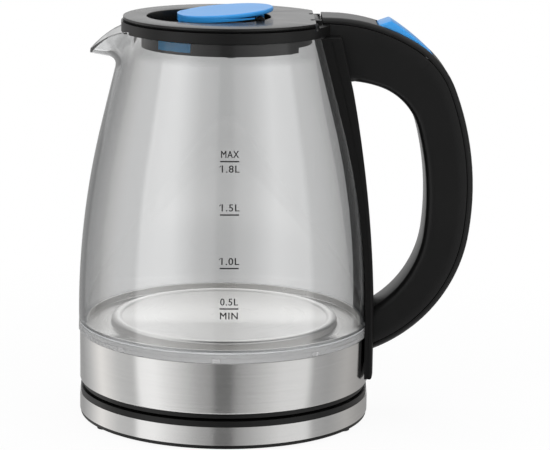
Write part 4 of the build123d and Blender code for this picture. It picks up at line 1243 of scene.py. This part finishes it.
def makeStudioFloor():
    material, s = newFinish("paleFloor")
    flat = stretched(s, objectPlace(s), (1.0, 1.0, 0.0))
    reach = s.node("ShaderNodeVectorMath", {"operation": "LENGTH"}, {0: flat}, 1)
    fade = ((reach - studio["fadeFrom"]) / (studio["fadeTo"] - studio["fadeFrom"])).clamped()
    glow = shownRays(s) * (studio["floorGlow"] + fade * (1 - studio["floorGlow"]))
    matt = s.node("ShaderNodeBsdfDiffuse", {}, {"Color": grey(studio["floorPale"])})
    white = s.node("ShaderNodeEmission", {}, {"Color": grey(1.0), "Strength": 1.0})
    closeFinish(s, s.node("ShaderNodeMixShader", {}, {0: glow, 1: matt, 2: white}))
    bm = bmesh.new()
    ops.create_grid(bm, x_segments=1, y_segments=1, size=studio["floorSize"] / 2)
    floor = stageObject("studioFloor", bm, material)
    floor.visible_glossy = False
    floor.visible_transmission = False


def roomStops(tones):
    return [((angle + 180) / 360, (tone, tone * (1 + warm) / 2, tone * warm, 1.0)) for angle, tone, warm in tones]


def makeRoom():
    material, s = newFinish("roomTones")
    across, back, height = (s.node("ShaderNodeSeparateXYZ", {}, {"Vector": objectPlace(s)}, axis) for axis in "XYZ")
    turn = s.sum("ARCTAN2", across, 0.0 - back) / fullTurn + 0.5
    mirrored = s.node("ShaderNodeValToRGB", {"stops": roomStops(roomTones)}, {"Fac": turn})
    behind = s.node("ShaderNodeValToRGB", {"stops": roomStops(throughTones)}, {"Fac": turn})
    through = ray(s, "Is Transmission Ray")
    smooth = ray(s, "Is Singular Ray")
    rear = ((back - studio["rearFrom"]) / studio["rearEase"]).clamped()
    above = (height / studio["upperEase"]).clamped() * rear * through
    # the height of the glass that mirrors this spot: no sheen on the neck, which the collar overhangs
    incoming = s.node("ShaderNodeNewGeometry", {}, {}, "Incoming")
    slope = s.node("ShaderNodeSeparateXYZ", {}, {"Vector": incoming}, "Z")
    mirrorHeight = height + slope * ray(s, "Ray Length")
    neck = ((mirrorHeight - studio["neckFrom"]) / studio["neckEase"]).clamped()
    front = ((studio["sideEase"] - back) / studio["sideEase"]).clamped()
    direct = smooth * (1.0 - through) * (1.0 - neck) * front * (studio["glassSheen"] - 1)
    strength = 1.0 + direct + through * (studio["behindGlow"] - 1) + above * studio["upperGlow"]
    closeFinish(s, s.node("ShaderNodeEmission", {}, {"Color": through.mixed(mirrored, behind), "Strength": strength}))
    bm = bmesh.new()
    rim = ops.create_circle(bm, segments=128, radius=studio["wallRadius"])["verts"]
    made = ops.extrude_edge_only(bm, edges=bm.edges[:])
    raised = madeOf(made)
    ops.translate(bm, verts=rim, vec=(0, 0, studio["wallLow"]))
    ops.translate(bm, verts=raised, vec=(0, 0, studio["wallHigh"]))
    room = stageObject("studioRoom", bm, material)
    room.visible_camera = False
    room.visible_diffuse = False
    room.visible_shadow = False


lamps = {
    "leftSoftbox": {"place": (-1.25, -1.25, 1.15), "size": 1.1, "power": 9.0},
    "rightSoftbox": {"place": (1.5, -0.9, 0.9), "size": 1.0, "power": 7.0},
    "topSoftbox": {"place": (0.1, 0.25, 1.9), "size": 1.3, "power": 14.0},
    "frontFill": {"place": (-0.35, -2.0, 0.2), "size": 0.9, "power": 16.0},
}


def addLamp(name, lamp):
    data = bpy.data.lights.new(name, "AREA")
    data.shape = "SQUARE"
    data.size = lamp["size"]
    data.energy = lamp["power"]
    obj = bpy.data.objects.new(name, data)
    scene.collection.objects.link(obj)
    obj.location = lamp["place"]
    obj.visible_glossy = False
    obj.visible_transmission = False
    aim = Vector(studio["aim"]) - Vector(lamp["place"])
    obj.rotation_euler = aim.to_track_quat("-Z", "Y").to_euler()


makeSurround()
makeStudioFloor()
makeRoom()
for lampName, lamp in lamps.items():
    addLamp(lampName, lamp)
print("studio lit")
